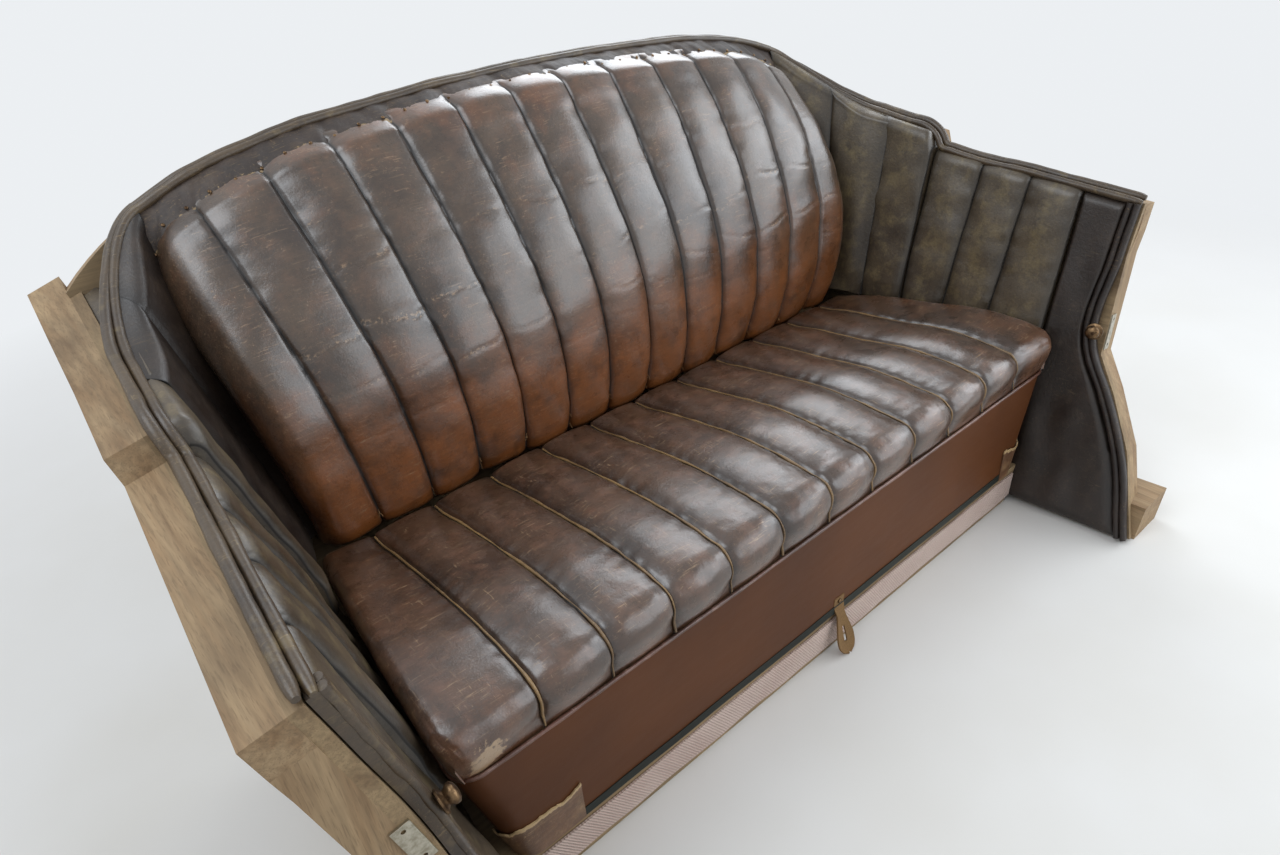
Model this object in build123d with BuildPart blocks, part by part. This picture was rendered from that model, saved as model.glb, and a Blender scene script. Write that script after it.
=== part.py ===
"""Rear bench seat of an open family car of about 1920, with its side trim and the timber frame behind it.

Millimetres, +Z up, the seat looks along -Y. The origin is on the floor, in the middle of the outline.
"""
import os
from math import atan2, cos, radians, sin, tan
from typing import NamedTuple

from build123d import *

os.makedirs("parts", exist_ok=True)

# Places that the rest is measured from
FACE_Y = -244.5  # front face of the loose cushion's timber box
SIDE_HALF = 536.0  # half the width between the linings, at the floor below FACE_Y
LEAN = radians(13.2)  # each side leans outwards going up
TAPER = radians(5.0)  # each side runs inwards going back
RAKE = radians(16.0)  # the back leans backwards going up
BACK_DEPTH = 415.0  # from FACE_Y back to the squab's rear face, at the floor

# Boards, timbers and clearances
SKIN = 3.0  # leathercloth
BOARD = 14.0  # side boards
BACK_BOARD = 12.0
SQUAB_BOARD = 9.0
TIMBER = 40.0  # depth of every frame timber behind the boards
TIMBER_W = 45.0  # width of every frame timber
SLIP = 0.3  # air between pieces that only rest on each other
FOOT_GAP = 12.0  # boards and covers stop this far above the floor

# Layers of a side, outwards from the face of the lining
RAISED = 12.0  # the rear pads stand this far proud of the front ones
PANEL_IN = 4.0
COVER_IN = 20.0
BOARD_IN = 24.0
BOARD_OUT = BOARD_IN + BOARD
FRAME_OUT = BOARD_OUT + TIMBER

# Layers of the back, rearwards from the squab's rear face
BACK_IN = SQUAB_BOARD
BACK_OUT = BACK_IN + BACK_BOARD
BACK_FRAME_OUT = BACK_OUT + TIMBER

# Side outline in its leaning plane: distance back from FACE_Y, height up the board
PILLAR_EDGE = ((-213.0, FOOT_GAP), (-165.0, 160.0), (-115.0, 253.0), (-77.0, 312.0), (-68.0, 480.0),
               (-70.0, 562.0))
STEP_LOW = (290.0, 600.0)
STEP_HIGH = (303.0, 629.0)
ARM_EDGE = ((430.0, 650.0), (545.0, 676.0), (760.0, 720.0))
PANEL_EDGE_GAP = 23.0  # strip along the pillar edge for its two beads
PANEL_BACK = 20.0  # the plain front panel ends here and the pleats begin
FRONT_PAD_FOOT = 205.0
REAR_PAD_FOOT = 345.0
EDGE_ROUND = 60.0  # bends of the pillar beads
PAD_SEAM = 1.0  # parting between neighbouring trim pieces
MID_POST_AT = 180.0
ROLL_R = 8.0  # roll along the top of each side and of the back
BEAD_R = 5.0  # each bead of the pillar edging
BEAD_INSETS = (6.5, 17.0)  # of the two beads from the pillar edge
BEAD_CENTRE = 8.0  # layer that the beads are centred on
STRIP_INSETS = (4.0, 20.0)  # edges of the strip that carries the beads
STRIP_IN = 10.0  # layer of the strip's face

# Back outline up its raked plane: half width, height up the board
BACK_FOOT = (545.0, FOOT_GAP)
BACK_CORNER = (690.0, 686.0)
BACK_SHOULDER = (583.0, 757.0)
BACK_BROW = (395.0, 808.0)
BACK_CROWN = 828.0
INNER_POST_X = 190.0

# Rounded pads in the two rear corners
CORNER_FOOT = 345.0
CORNER_SIDE_RUN = 175.0  # reach forwards along the side
CORNER_BACK_RUN = 70.0  # reach inwards along the back
CORNER_EDGE = 6.0  # thickness left at both reaches
CORNER_BEND = (634.0, 530.0)  # middle of the roll: half width, distance back from FACE_Y
ROLL_GAP = 5.0  # between the ends of two rolls

# Base
SILL_H = 60.0
SILL_W = 80.0
BOLT_X = 615.0
BOLT_DEPTHS = (-60.0, 240.0)
BOLT_R = 5.5
DECK_TOP = 75.0
DECK_T = 15.0
BEARER_D = 45.0
HEEL_T = 24.0
CARPET_T = 4.0
CARPET_TOP = 62.0

# Loose cushion
CUSHION_DEPTH = 418.0
CUSHION_GAP = 15.0  # air between the cushion's box and the lining
FRONT_TOP = 267.0  # top of the cushion's box in front
REAR_TOP = 205.0  # top of the cushion's box behind
BOX_BOARD = 18.0
BOX_CORNER = 24.0  # round of the box's front corners
SLAT_W = 60.0
SLAT_T = 12.0
SLAT_PITCH = 340.0
WELT_R = 4.0
RETURN = 90.0  # facing and welt run this far back round the box's ends
NOSE_TOP = (-20.0, 336.0)  # top line of the pad: distance back from FACE_Y, height
CROWN = (120.0, 343.0)
HEEL_TOP = (392.0, 297.0)
HEEL_MID = (411.0, 288.0)
HEEL_END = (418.0, 268.0)

# Squab in profile, as distance back from FACE_Y and height
SQUAB_FOOT = (424.0, 288.0)
SQUAB_SWELL = (402.0, 395.0)
SQUAB_WAIST = (409.0, 500.0)
SQUAB_BREAST = (458.0, 620.0)
SQUAB_BROW = (548.0, 752.0)
SQUAB_TIP = (572.0, 780.0)
SQUAB_TOP = (604.0, 792.0)

# Squab from in front: half width, height
SQUAB_CREST = 792.0
SQUAB_OUTLINE = ((360.0, 766.0), (540.0, 712.0), (596.0, 636.0))  # corner, shoulder and end of the top line
SQUAB_FOOT_HALF = 538.0
BOARD_DROP = 24.0  # the squab's board stops this far below the squab's top line
LINING_T = 3.0

# Small trim
TAB_AT = 37.0
TAB_W = 40.0
TAB_TOP = 100.0
TAB_BEND = 84.0
TAB_REACH = 30.0
TAB_FOOT = 2.0
PATCH_T = 2.5
BUFFER_R = 11.0
BUFFER_T = 16.0
BUFFER_AT = (-62.0, 352.0)
PLATE_AT = 350.0  # height of the striker plate up the pillar edge
PLATE_CENTRE = 37.0  # layer that the plate is centred on
PLATE_W = 20.0
PLATE_H = 60.0
PLATE_T = 2.5
SCREW_R = 2.5
SCREW_PITCH = 44.0


class Flank(NamedTuple):
    """One side of the seat: name, direction along X, and which half of a cut lies towards the seat."""

    name: str
    sign: int
    inner: Keep
    outer: Keep


class Patch(NamedTuple):
    """Ragged leather patch on a lower corner of the facing: name, direction along X, width, height."""

    name: str
    sign: int
    width: float
    height: float


class PadSection(NamedTuple):
    """Level section of the cushion's pad: height, swell in front, swell at the ends, corner radius."""

    height: float
    front: float
    end: float
    corner: float


PAD_SECTIONS = (PadSection(200.0, 0.0, 0.0, BOX_CORNER), PadSection(272.0, 0.0, 0.0, BOX_CORNER),
                PadSection(290.0, 8.0, 0.0, 30.0), PadSection(308.0, 11.0, 0.0, 35.0),
                PadSection(326.0, 6.0, -5.0, 40.0), PadSection(344.0, -14.0, -26.0, 46.0))
SIDES = (Flank("left", -1, Keep.TOP, Keep.BOTTOM), Flank("right", 1, Keep.BOTTOM, Keep.TOP))
PATCHES = (Patch("left", -1, 95.0, 70.0), Patch("right", 1, 60.0, 62.0))


def side_plane(sign: int, outward: float) -> Plane:
    """Plane along a side, `outward` from the lining's face. Its X runs back and its Y runs up."""
    normal = Vector(cos(LEAN) * cos(TAPER), sign * cos(LEAN) * sin(TAPER), -sign * sin(LEAN))
    origin = Vector(sign * SIDE_HALF, FACE_Y, 0) + normal * (sign * outward)
    return Plane(origin=origin, x_dir=(-sign * sin(TAPER), cos(TAPER), 0), z_dir=normal)


def lining_x(depth: float, height: float, outward: float) -> float:
    """Half width to a side's layer at a depth behind FACE_Y and a height above the floor."""
    swing = height * tan(LEAN) / cos(TAPER) - depth * tan(TAPER)
    return SIDE_HALF + swing + outward / (cos(LEAN) * cos(TAPER))


def back_plane(rearward: float) -> Plane:
    """Raked plane of the back, `rearward` of the squab's rear face. Its Z points to the seat."""
    normal = Vector(0, -cos(RAKE), sin(RAKE))
    return Plane(origin=Vector(0, FACE_Y + BACK_DEPTH, 0) - normal * rearward, x_dir=(1, 0, 0), z_dir=normal)


def back_depth(height: float, rearward: float) -> float:
    """Distance behind FACE_Y of a layer of the raked back at a height above the floor."""
    return BACK_DEPTH + height * tan(RAKE) + rearward / cos(RAKE)


def seam_plane(drop: float) -> Plane:
    """Sloping top of the cushion's box, lowered by `drop`. Its X is the seat's X and its Y runs back."""
    slope = atan2(FRONT_TOP - REAR_TOP, CUSHION_DEPTH)
    normal = Vector(0, sin(slope), cos(slope))
    return Plane(origin=Vector(0, FACE_Y, FRONT_TOP) - normal * drop, x_dir=(1, 0, 0), z_dir=normal)


def profile_plane(across: float) -> Plane:
    """Upright fore-and-aft plane at a place across the seat. Its X runs back from FACE_Y, its Y runs up."""
    return Plane(origin=(across, FACE_Y, 0), x_dir=(0, 1, 0), z_dir=(1, 0, 0))


def cut_between_sides(outward: float) -> None:
    """Cut the current piece off at both sides, `outward` from the lining's face."""
    for side in SIDES:
        split(bisect_by=side_plane(side.sign, outward), keep=side.inner)


def bar_end(depth: float, thick: float, low: float, high: float) -> Sketch:
    """End view of a plain bar that runs right across, from `depth` behind FACE_Y and between two heights."""
    with BuildSketch(profile_plane(0)) as end:
        with Locations((depth + thick / 2, (low + high) / 2)):
            Rectangle(thick, high - low)
    return end.sketch


def box_block(grow: float) -> Part:
    """Block of the cushion's box with every wall moved outwards by `grow` and its front corners rounded."""
    with BuildPart() as block:
        extrude(bar_end(-grow, CUSHION_DEPTH + 2 * grow, DECK_TOP + SLIP, FRONT_TOP), amount=WIDE, both=True)
        cut_between_sides(grow - CUSHION_GAP)
        front_edges = block.faces().sort_by(Axis.Y)[0].edges().sort_by(Axis.X)
        fillet((front_edges[0], front_edges[-1]), radius=BOX_CORNER + grow)
    return block.part


def squab_front(drop: float, grow: float) -> Sketch:
    """Squab's outline from in front, lowered by `drop` and then widened by `grow`."""
    with BuildSketch(Plane(origin=(0, 0, 0), x_dir=(1, 0, 0), z_dir=(0, -1, 0))) as front:
        with BuildLine():
            corner, shoulder, end = ((across, up - drop) for across, up in SQUAB_OUTLINE)
            crest = ThreePointArc((-corner[0], corner[1]), (0, SQUAB_CREST - drop), corner)
            right = TangentArc(crest @ 1, shoulder, tangent=crest % 1)
            TangentArc(right @ 1, end, tangent=right % 1)
            left = TangentArc(crest @ 0, (-shoulder[0], shoulder[1]), tangent=-(crest % 0))
            TangentArc(left @ 1, (-end[0], end[1]), tangent=left % 1)
            Polyline((-end[0], end[1]), (-SQUAB_FOOT_HALF, SQUAB_FOOT[1]),
                     (SQUAB_FOOT_HALF, SQUAB_FOOT[1]), end)
        make_face()
        if grow:
            offset(amount=grow)
    return front.sketch


def jamb_plane(sign: int, outward: float, height: float) -> Plane:
    """Plane on the front face of a door pillar, at a layer and a height. Its X runs outwards."""
    lining = side_plane(sign, outward)
    low, high = PILLAR_EDGE[-3:-1]
    along = Vector(high[0] - low[0], high[1] - low[1]).normalized()
    back = low[0] + (height - low[1]) * along.X / along.Y
    forward = lining.y_dir * along.X - lining.x_dir * along.Y
    return Plane(origin=lining.from_local_coords((back, height)), x_dir=lining.z_dir * sign, z_dir=forward)


def cushion_plan(height: float, front: float, end: float, corner: float) -> Sketch:
    """Outline of the cushion at a height, its front and ends moved outwards, its front corners rounded."""
    near = lining_x(-front, height, end - CUSHION_GAP)
    far = lining_x(CUSHION_DEPTH + end, height, end - CUSHION_GAP)
    with BuildSketch(Plane.XY.offset(height)) as plan:
        with BuildLine():
            Polyline((-near, FACE_Y - front), (near, FACE_Y - front), (far, FACE_Y + CUSHION_DEPTH + end),
                     (-far, FACE_Y + CUSHION_DEPTH + end), close=True)
        make_face()
        fillet(plan.vertices().sort_by(Axis.Y)[:2], radius=corner)
    return plan.sketch


def back_arch(drop: float, whole: bool) -> None:
    """Draw the back's top line as smooth arcs, lowered by `drop`, to its shoulders or to its corners."""
    corner, shoulder, brow = ((x, up - drop) for x, up in (BACK_CORNER, BACK_SHOULDER, BACK_BROW))
    crown = ThreePointArc((-brow[0], brow[1]), (0, BACK_CROWN - drop), brow)
    right = TangentArc(crown @ 1, shoulder, tangent=crown % 1)
    left = TangentArc(crown @ 0, (-shoulder[0], shoulder[1]), tangent=-(crown % 0))
    if whole:
        TangentArc(right @ 1, corner, tangent=right % 1)
        TangentArc(left @ 1, (-corner[0], corner[1]), tangent=left % 1)


def back_outline(drop: float, foot: float) -> None:
    """Draw the closed outline of the back between the height `foot` and its top line lowered by `drop`."""
    back_arch(drop, True)
    corner = (BACK_CORNER[0], BACK_CORNER[1] - drop)
    Polyline((-corner[0], corner[1]), (-BACK_FOOT[0], foot), (BACK_FOOT[0], foot), corner)


def corner_section(sign: int, height: float) -> Sketch:
    """Level section of a corner pad, in the angle between a rear pad's face and the lining of the back."""
    wall = back_depth(height, BACK_IN - LINING_T - SLIP)
    ahead = wall - CORNER_SIDE_RUN
    corner_x, ahead_x = (lining_x(depth, height, -RAISED - SLIP) for depth in (wall, ahead))
    outline = ((corner_x - CORNER_BACK_RUN, wall - CORNER_EDGE), (corner_x - CORNER_BACK_RUN, wall),
               (corner_x, wall), (ahead_x, ahead), (ahead_x - CORNER_EDGE, ahead))
    with BuildSketch(Plane.XY.offset(height)) as section:
        with BuildLine():
            points = tuple((sign * across, FACE_Y + depth) for across, depth in outline)
            Polyline(*points)
            TangentArc(points[-1], points[0], tangent=(-sign * sin(TAPER), cos(TAPER)))
        make_face()
    return section.sketch


def corner_route(sign: int) -> tuple[Vector, Vector, Vector]:
    """Start, middle and end of the roll round a rear corner, from the side's roll to the back's roll."""
    start = side_plane(sign, BOARD_IN).from_local_coords(
        (ARM_EDGE[0][0] + ROLL_GAP, ARM_EDGE[0][1] + ROLL_LIFT + 2 * PAD_SEAM))
    end = back_plane(BACK_IN - LINING_T - ROLL_LIFT).from_local_coords(
        (sign * BACK_SHOULDER[0], BACK_SHOULDER[1] + ROLL_LIFT))
    slope = corner_slope(start, end)
    across, depth = sign * CORNER_BEND[0], FACE_Y + CORNER_BEND[1]
    drop = (across - start.X) * slope.X + (depth - start.Y) * slope.Y
    return start, Vector(across, depth, start.Z - drop / slope.Z), end


def corner_slope(start: Vector, end: Vector) -> Vector:
    """Upward normal of the plane that rises from a corner roll's start to its end and is level across."""
    chord = end - start
    return chord.cross(Vector(-chord.Y, chord.X, 0)).normalized()


def save(piece: BuildPart, name: str) -> None:
    """Name a finished piece and write it out."""
    piece.part.label = name
    export_step(piece.part, f"parts/{name}.step")


BROW_SLOPE = 2 * atan2(BACK_CROWN - BACK_BROW[1], BACK_BROW[0])
SHOULDER_SLOPE = 2 * atan2(BACK_BROW[1] - BACK_SHOULDER[1], BACK_SHOULDER[0] - BACK_BROW[0]) - BROW_SLOPE
ROLL_LIFT = ROLL_R + SLIP
BACK_ROLL_LIFT = ROLL_R / cos(SHOULDER_SLOPE) + SLIP
TOP_SLOPE = (STEP_LOW[1] - PILLAR_EDGE[-1][1]) / (STEP_LOW[0] - PILLAR_EDGE[-1][0])


def top_height(back: float) -> float:
    """Height of the side's top line ahead of the step."""
    return PILLAR_EDGE[-1][1] + TOP_SLOPE * (back - PILLAR_EDGE[-1][0])


TOP_EDGE = (PILLAR_EDGE[-1], STEP_LOW, STEP_HIGH) + ARM_EDGE
REAR_REACH = ARM_EDGE[-1][0]
WIDE = lining_x(PILLAR_EDGE[0][0], SQUAB_CREST, FRAME_OUT)  # half a width that passes both sides

# Boards and timbers of the two sides
for side in SIDES:
    with BuildPart() as side_board:
        with BuildSketch(side_plane(side.sign, BOARD_IN)):
            with BuildLine():
                Polyline(*PILLAR_EDGE, *TOP_EDGE[1:], (REAR_REACH, FOOT_GAP), close=True)
            make_face()
        extrude(amount=side.sign * BOARD)
        split(bisect_by=back_plane(BACK_IN), keep=Keep.TOP)
    save(side_board, f"side_board_{side.name}")

    with BuildPart() as elbow_rail:
        with BuildSketch(side_plane(side.sign, BOARD_OUT)):
            with BuildLine():
                Polyline(*TOP_EDGE, *((back, up - TIMBER_W) for back, up in reversed(TOP_EDGE)), close=True)
            make_face()
        extrude(amount=side.sign * TIMBER)
        split(bisect_by=back_plane(BACK_FRAME_OUT), keep=Keep.TOP)
    save(elbow_rail, f"elbow_rail_{side.name}")

    with BuildPart() as pillar_post:
        with BuildSketch(side_plane(side.sign, BOARD_OUT)):
            with BuildLine():
                top = (PILLAR_EDGE[-1][0], PILLAR_EDGE[-1][1] - TIMBER_W)
                behind = tuple((back + TIMBER_W, up) for back, up in reversed(PILLAR_EDGE[:-1]))
                Polyline(*PILLAR_EDGE[:-1], top, (top[0] + TIMBER_W, top[1] + TOP_SLOPE * TIMBER_W), *behind,
                         close=True)
            make_face()
        extrude(amount=side.sign * TIMBER)
        split(bisect_by=Plane.XY.offset(SILL_H), keep=Keep.TOP)
    save(pillar_post, f"pillar_post_{side.name}")

    with BuildPart() as mid_post:
        with BuildSketch(side_plane(side.sign, BOARD_OUT)):
            with BuildLine():
                ahead = (MID_POST_AT, top_height(MID_POST_AT) - TIMBER_W)
                rear = (MID_POST_AT + TIMBER_W, top_height(MID_POST_AT + TIMBER_W) - TIMBER_W)
                Polyline((ahead[0], 0), ahead, rear, (rear[0], 0), close=True)
            make_face()
        extrude(amount=side.sign * TIMBER)
        split(bisect_by=Plane.XY.offset(SILL_H), keep=Keep.TOP)
    save(mid_post, f"mid_post_{side.name}")

    with BuildPart() as sill:
        front_end = PILLAR_EDGE[0][0]
        rear_end = back_depth(0, BACK_FRAME_OUT)
        with BuildSketch(Plane.XY):
            with Locations((0, FACE_Y + (front_end + rear_end) / 2)):
                Rectangle(2 * WIDE, rear_end - front_end)
        extrude(amount=SILL_H)
        split(bisect_by=side_plane(side.sign, BOARD_OUT), keep=side.outer)
        split(bisect_by=side_plane(side.sign, BOARD_OUT + SILL_W), keep=side.inner)
        with Locations(*((side.sign * BOLT_X, FACE_Y + depth, SILL_H / 2) for depth in BOLT_DEPTHS)):
            Cylinder(BOLT_R, SILL_H, mode=Mode.SUBTRACT)
    save(sill, f"sill_{side.name}")

# Soft and covered trim of the two sides
panel_front = tuple((back + PANEL_EDGE_GAP, up) for back, up in PILLAR_EDGE[:-1])
panel_top = PILLAR_EDGE[-1][0] + PANEL_EDGE_GAP
for side in SIDES:
    with BuildPart() as front_panel:
        with BuildSketch(side_plane(side.sign, PANEL_IN)):
            with BuildLine():
                Polyline(*panel_front, (panel_top, top_height(panel_top)),
                         (PANEL_BACK, top_height(PANEL_BACK)), (PANEL_BACK, FOOT_GAP), close=True)
            make_face()
        extrude(amount=side.sign * (BOARD_IN - PANEL_IN))
    save(front_panel, f"front_panel_{side.name}")

    with BuildPart() as front_pad:
        with BuildSketch(side_plane(side.sign, 0)):
            with BuildLine():
                ahead = PANEL_BACK + PAD_SEAM
                rear = STEP_LOW[0] - PAD_SEAM
                Polyline((ahead, FRONT_PAD_FOOT), (ahead, top_height(ahead)), (rear, top_height(rear)),
                         (rear, FRONT_PAD_FOOT), close=True)
            make_face()
        extrude(amount=side.sign * BOARD_IN)
    save(front_pad, f"front_pad_{side.name}")

    with BuildPart() as lower_cover:
        with BuildSketch(side_plane(side.sign, COVER_IN)):
            with BuildLine():
                ahead = PANEL_BACK + PAD_SEAM
                low = FRONT_PAD_FOOT - PAD_SEAM
                high = REAR_PAD_FOOT - PAD_SEAM
                Polyline((ahead, FOOT_GAP), (ahead, low), (STEP_LOW[0], low), (STEP_LOW[0], high),
                         (REAR_REACH, high), (REAR_REACH, FOOT_GAP), close=True)
            make_face()
        extrude(amount=side.sign * (BOARD_IN - COVER_IN))
        split(bisect_by=back_plane(BACK_IN), keep=Keep.TOP)
    save(lower_cover, f"lower_cover_{side.name}")

    with BuildPart() as rear_pad:
        with BuildSketch(side_plane(side.sign, -RAISED)):
            with BuildLine():
                Polyline((STEP_LOW[0], REAR_PAD_FOOT), STEP_LOW, STEP_HIGH, *ARM_EDGE,
                         (REAR_REACH, REAR_PAD_FOOT), close=True)
            make_face()
        extrude(amount=side.sign * (BOARD_IN + RAISED))
        split(bisect_by=back_plane(BACK_IN), keep=Keep.TOP)
    save(rear_pad, f"rear_pad_{side.name}")

    with BuildPart() as front_roll:
        with BuildLine(side_plane(side.sign, BOARD_IN)) as path:
            ahead = PILLAR_EDGE[-1][0]
            rear = STEP_LOW[0] - ROLL_R
            Line((ahead, top_height(ahead) + ROLL_LIFT), (rear, top_height(rear) + ROLL_LIFT))
        with BuildSketch(Plane(origin=path.line @ 0, z_dir=path.line % 0)):
            Circle(ROLL_R)
        sweep(path=path.line)
    save(front_roll, f"front_roll_{side.name}")

    with BuildPart() as rear_roll:
        with BuildLine(side_plane(side.sign, BOARD_IN)) as path:
            Line((STEP_HIGH[0], STEP_HIGH[1] + ROLL_LIFT), (ARM_EDGE[0][0], ARM_EDGE[0][1] + ROLL_LIFT))
        with BuildSketch(Plane(origin=path.line @ 0, z_dir=path.line % 0)):
            Circle(ROLL_R)
        sweep(path=path.line)
    save(rear_roll, f"rear_roll_{side.name}")

    with BuildPart() as corner_roll:
        with BuildLine() as path:
            ThreePointArc(*corner_route(side.sign))
        with BuildSketch(Plane(origin=path.line @ 0, z_dir=path.line % 0)):
            Circle(ROLL_R)
        sweep(path=path.line)
    save(corner_roll, f"corner_roll_{side.name}")

    start, middle, end = corner_route(side.sign)
    slope = corner_slope(start, end)
    with BuildPart() as corner_pad:
        loft([corner_section(side.sign, height) for height in (CORNER_FOOT, SQUAB_CREST)], ruled=True)
        split(bisect_by=Plane(origin=middle - slope * ROLL_LIFT, z_dir=slope), keep=Keep.BOTTOM)
        for drop in (0, BOARD_DROP):
            extrude(squab_front(drop, 2 * PAD_SEAM), amount=SQUAB_CREST, both=True, mode=Mode.SUBTRACT)
    save(corner_pad, f"corner_pad_{side.name}")

    with BuildPart() as pillar_edging:
        with BuildSketch(side_plane(side.sign, STRIP_IN)):
            with BuildLine():
                ahead, behind = (tuple((back + inset, up) for back, up in PILLAR_EDGE)
                                 for inset in STRIP_INSETS)
                Polyline(*ahead, *reversed(behind), close=True)
            make_face()
        extrude(amount=side.sign * (BOARD_IN - STRIP_IN))
        for inset in BEAD_INSETS:
            with BuildLine(side_plane(side.sign, BEAD_CENTRE)) as path:
                FilletPolyline(*((back + inset, up) for back, up in PILLAR_EDGE), radius=EDGE_ROUND)
            with BuildSketch(Plane(origin=path.line @ 0, z_dir=path.line % 0)):
                Circle(BEAD_R)
            sweep(path=path.line)
    save(pillar_edging, f"pillar_edging_{side.name}")

# Base: bearers, heelboard with its carpet, deck
with BuildPart() as bearer_front:
    extrude(bar_end(HEEL_T, BEARER_D, 0, DECK_TOP - DECK_T), amount=WIDE, both=True)
    cut_between_sides(COVER_IN)
save(bearer_front, "bearer_front")

with BuildPart() as bearer_rear:
    extrude(bar_end(BACK_DEPTH - BEARER_D, 2 * BEARER_D, 0, DECK_TOP - DECK_T), amount=WIDE, both=True)
    split(bisect_by=back_plane(BACK_IN), keep=Keep.TOP)
    cut_between_sides(COVER_IN)
save(bearer_rear, "bearer_rear")

with BuildPart() as deck:
    extrude(bar_end(HEEL_T, BACK_DEPTH, DECK_TOP - DECK_T, DECK_TOP), amount=WIDE, both=True)
    split(bisect_by=back_plane(BACK_IN), keep=Keep.TOP)
    cut_between_sides(COVER_IN)
save(deck, "deck")

with BuildPart() as heelboard:
    extrude(bar_end(0, HEEL_T, 0, DECK_TOP), amount=WIDE, both=True)
    cut_between_sides(PANEL_IN)
save(heelboard, "heelboard")

with BuildPart() as heelboard_carpet:
    extrude(bar_end(-CARPET_T, CARPET_T, FOOT_GAP, CARPET_TOP), amount=WIDE, both=True)
    cut_between_sides(PANEL_IN - SLIP)
save(heelboard_carpet, "heelboard_carpet")

# Back: board, frame, roll
with BuildPart() as back_board:
    with BuildSketch(back_plane(BACK_IN)):
        with BuildLine():
            back_outline(0, FOOT_GAP)
        make_face()
    extrude(amount=-BACK_BOARD)
    cut_between_sides(BOARD_OUT)
save(back_board, "back_board")

with BuildPart() as back_top_rail:
    with BuildSketch(back_plane(BACK_OUT)):
        with BuildLine():
            back_outline(0, FOOT_GAP)
        make_face()
        with BuildLine():
            back_outline(TIMBER_W, 0)
        make_face(mode=Mode.SUBTRACT)
    extrude(amount=-TIMBER)
    cut_between_sides(BOARD_OUT)
save(back_top_rail, "back_top_rail")

with BuildPart() as back_bottom_rail:
    extrude(bar_end(BACK_DEPTH, 2 * TIMBER, 0, SILL_H), amount=WIDE, both=True)
    split(bisect_by=back_plane(BACK_OUT), keep=Keep.BOTTOM)
    split(bisect_by=back_plane(BACK_FRAME_OUT), keep=Keep.TOP)
    cut_between_sides(BOARD_OUT)
save(back_bottom_rail, "back_bottom_rail")

for side in SIDES:
    with BuildPart() as corner_post:
        with BuildSketch(back_plane(BACK_OUT)):
            with BuildLine():
                back_outline(TIMBER_W, 0)
            make_face()
        extrude(amount=-TIMBER)
        split(bisect_by=Plane.XY.offset(SILL_H), keep=Keep.TOP)
        split(bisect_by=side_plane(side.sign, BOARD_OUT), keep=side.inner)
        split(bisect_by=side_plane(side.sign, BOARD_OUT - TIMBER_W), keep=side.outer)
    save(corner_post, f"corner_post_{side.name}")

    with BuildPart() as inner_post:
        with BuildSketch(back_plane(BACK_OUT)):
            with BuildLine():
                back_outline(TIMBER_W, 0)
            make_face()
            with Locations((side.sign * INNER_POST_X, BACK_CROWN / 2)):
                Rectangle(TIMBER_W, BACK_CROWN, mode=Mode.INTERSECT)
        extrude(amount=-TIMBER)
        split(bisect_by=Plane.XY.offset(SILL_H), keep=Keep.TOP)
    save(inner_post, f"inner_post_{side.name}")

with BuildPart() as back_roll:
    with BuildLine(back_plane(BACK_IN + BACK_BOARD / 2)) as path:
        back_arch(-BACK_ROLL_LIFT, False)
    with BuildSketch(Plane(origin=path.line @ 0, z_dir=path.line % 0)):
        Circle(ROLL_R)
    sweep(path=path.line)
save(back_roll, "back_roll")

# Squab: board, lining of the back around it, pad
with BuildPart() as squab_board:
    with BuildSketch(back_plane(0)):
        with BuildLine():
            back_outline(0, SQUAB_FOOT[1] / cos(RAKE))
        make_face()
    extrude(amount=-SQUAB_BOARD)
    extrude(squab_front(BOARD_DROP, 0), amount=SQUAB_CREST, both=True, mode=Mode.INTERSECT)
save(squab_board, "squab_board")

with BuildPart() as back_lining:
    with BuildSketch(back_plane(BACK_IN - LINING_T)):
        with BuildLine():
            back_outline(0, SQUAB_FOOT[1] / cos(RAKE))
        make_face()
    extrude(amount=-LINING_T)
    extrude(squab_front(BOARD_DROP, PAD_SEAM), amount=SQUAB_CREST, both=True, mode=Mode.SUBTRACT)
    cut_between_sides(-RAISED - SLIP)
save(back_lining, "back_lining")

with BuildPart() as squab_pad:
    with BuildSketch(profile_plane(0)):
        with BuildLine():
            ThreePointArc(SQUAB_FOOT, SQUAB_SWELL, SQUAB_WAIST)
            ThreePointArc(SQUAB_WAIST, SQUAB_BREAST, SQUAB_BROW)
            ThreePointArc(SQUAB_BROW, SQUAB_TIP, SQUAB_TOP)
            Polyline(SQUAB_TOP, (back_depth(SQUAB_TOP[1], 0), SQUAB_TOP[1]),
                     (back_depth(SQUAB_FOOT[1], 0), SQUAB_FOOT[1]), SQUAB_FOOT)
        make_face()
    extrude(amount=WIDE, both=True)
    extrude(squab_front(0, 0), amount=SQUAB_CREST, both=True, mode=Mode.INTERSECT)
save(squab_pad, "squab_pad")

# Loose cushion: box, slats, facing, welt, pad
box_outside, box_inside, facing_outside = (box_block(grow) for grow in (0, -BOX_BOARD, SKIN))
patch_outside = box_block(SKIN + PATCH_T)
with BuildPart() as cushion_box:
    add(box_outside)
    add(box_inside, mode=Mode.SUBTRACT)
    split(bisect_by=seam_plane(0), keep=Keep.BOTTOM)
save(cushion_box, "cushion_box")

for number, at in enumerate((-SLAT_PITCH, 0.0, SLAT_PITCH), start=1):
    with BuildPart() as slat:
        with BuildSketch(Plane.XY.offset(DECK_TOP + SLIP)):
            with Locations((at, FACE_Y + CUSHION_DEPTH / 2)):
                Rectangle(SLAT_W, CUSHION_DEPTH - 2 * BOX_BOARD)
        extrude(amount=SLAT_T)
    save(slat, f"cushion_slat_{number}")

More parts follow.
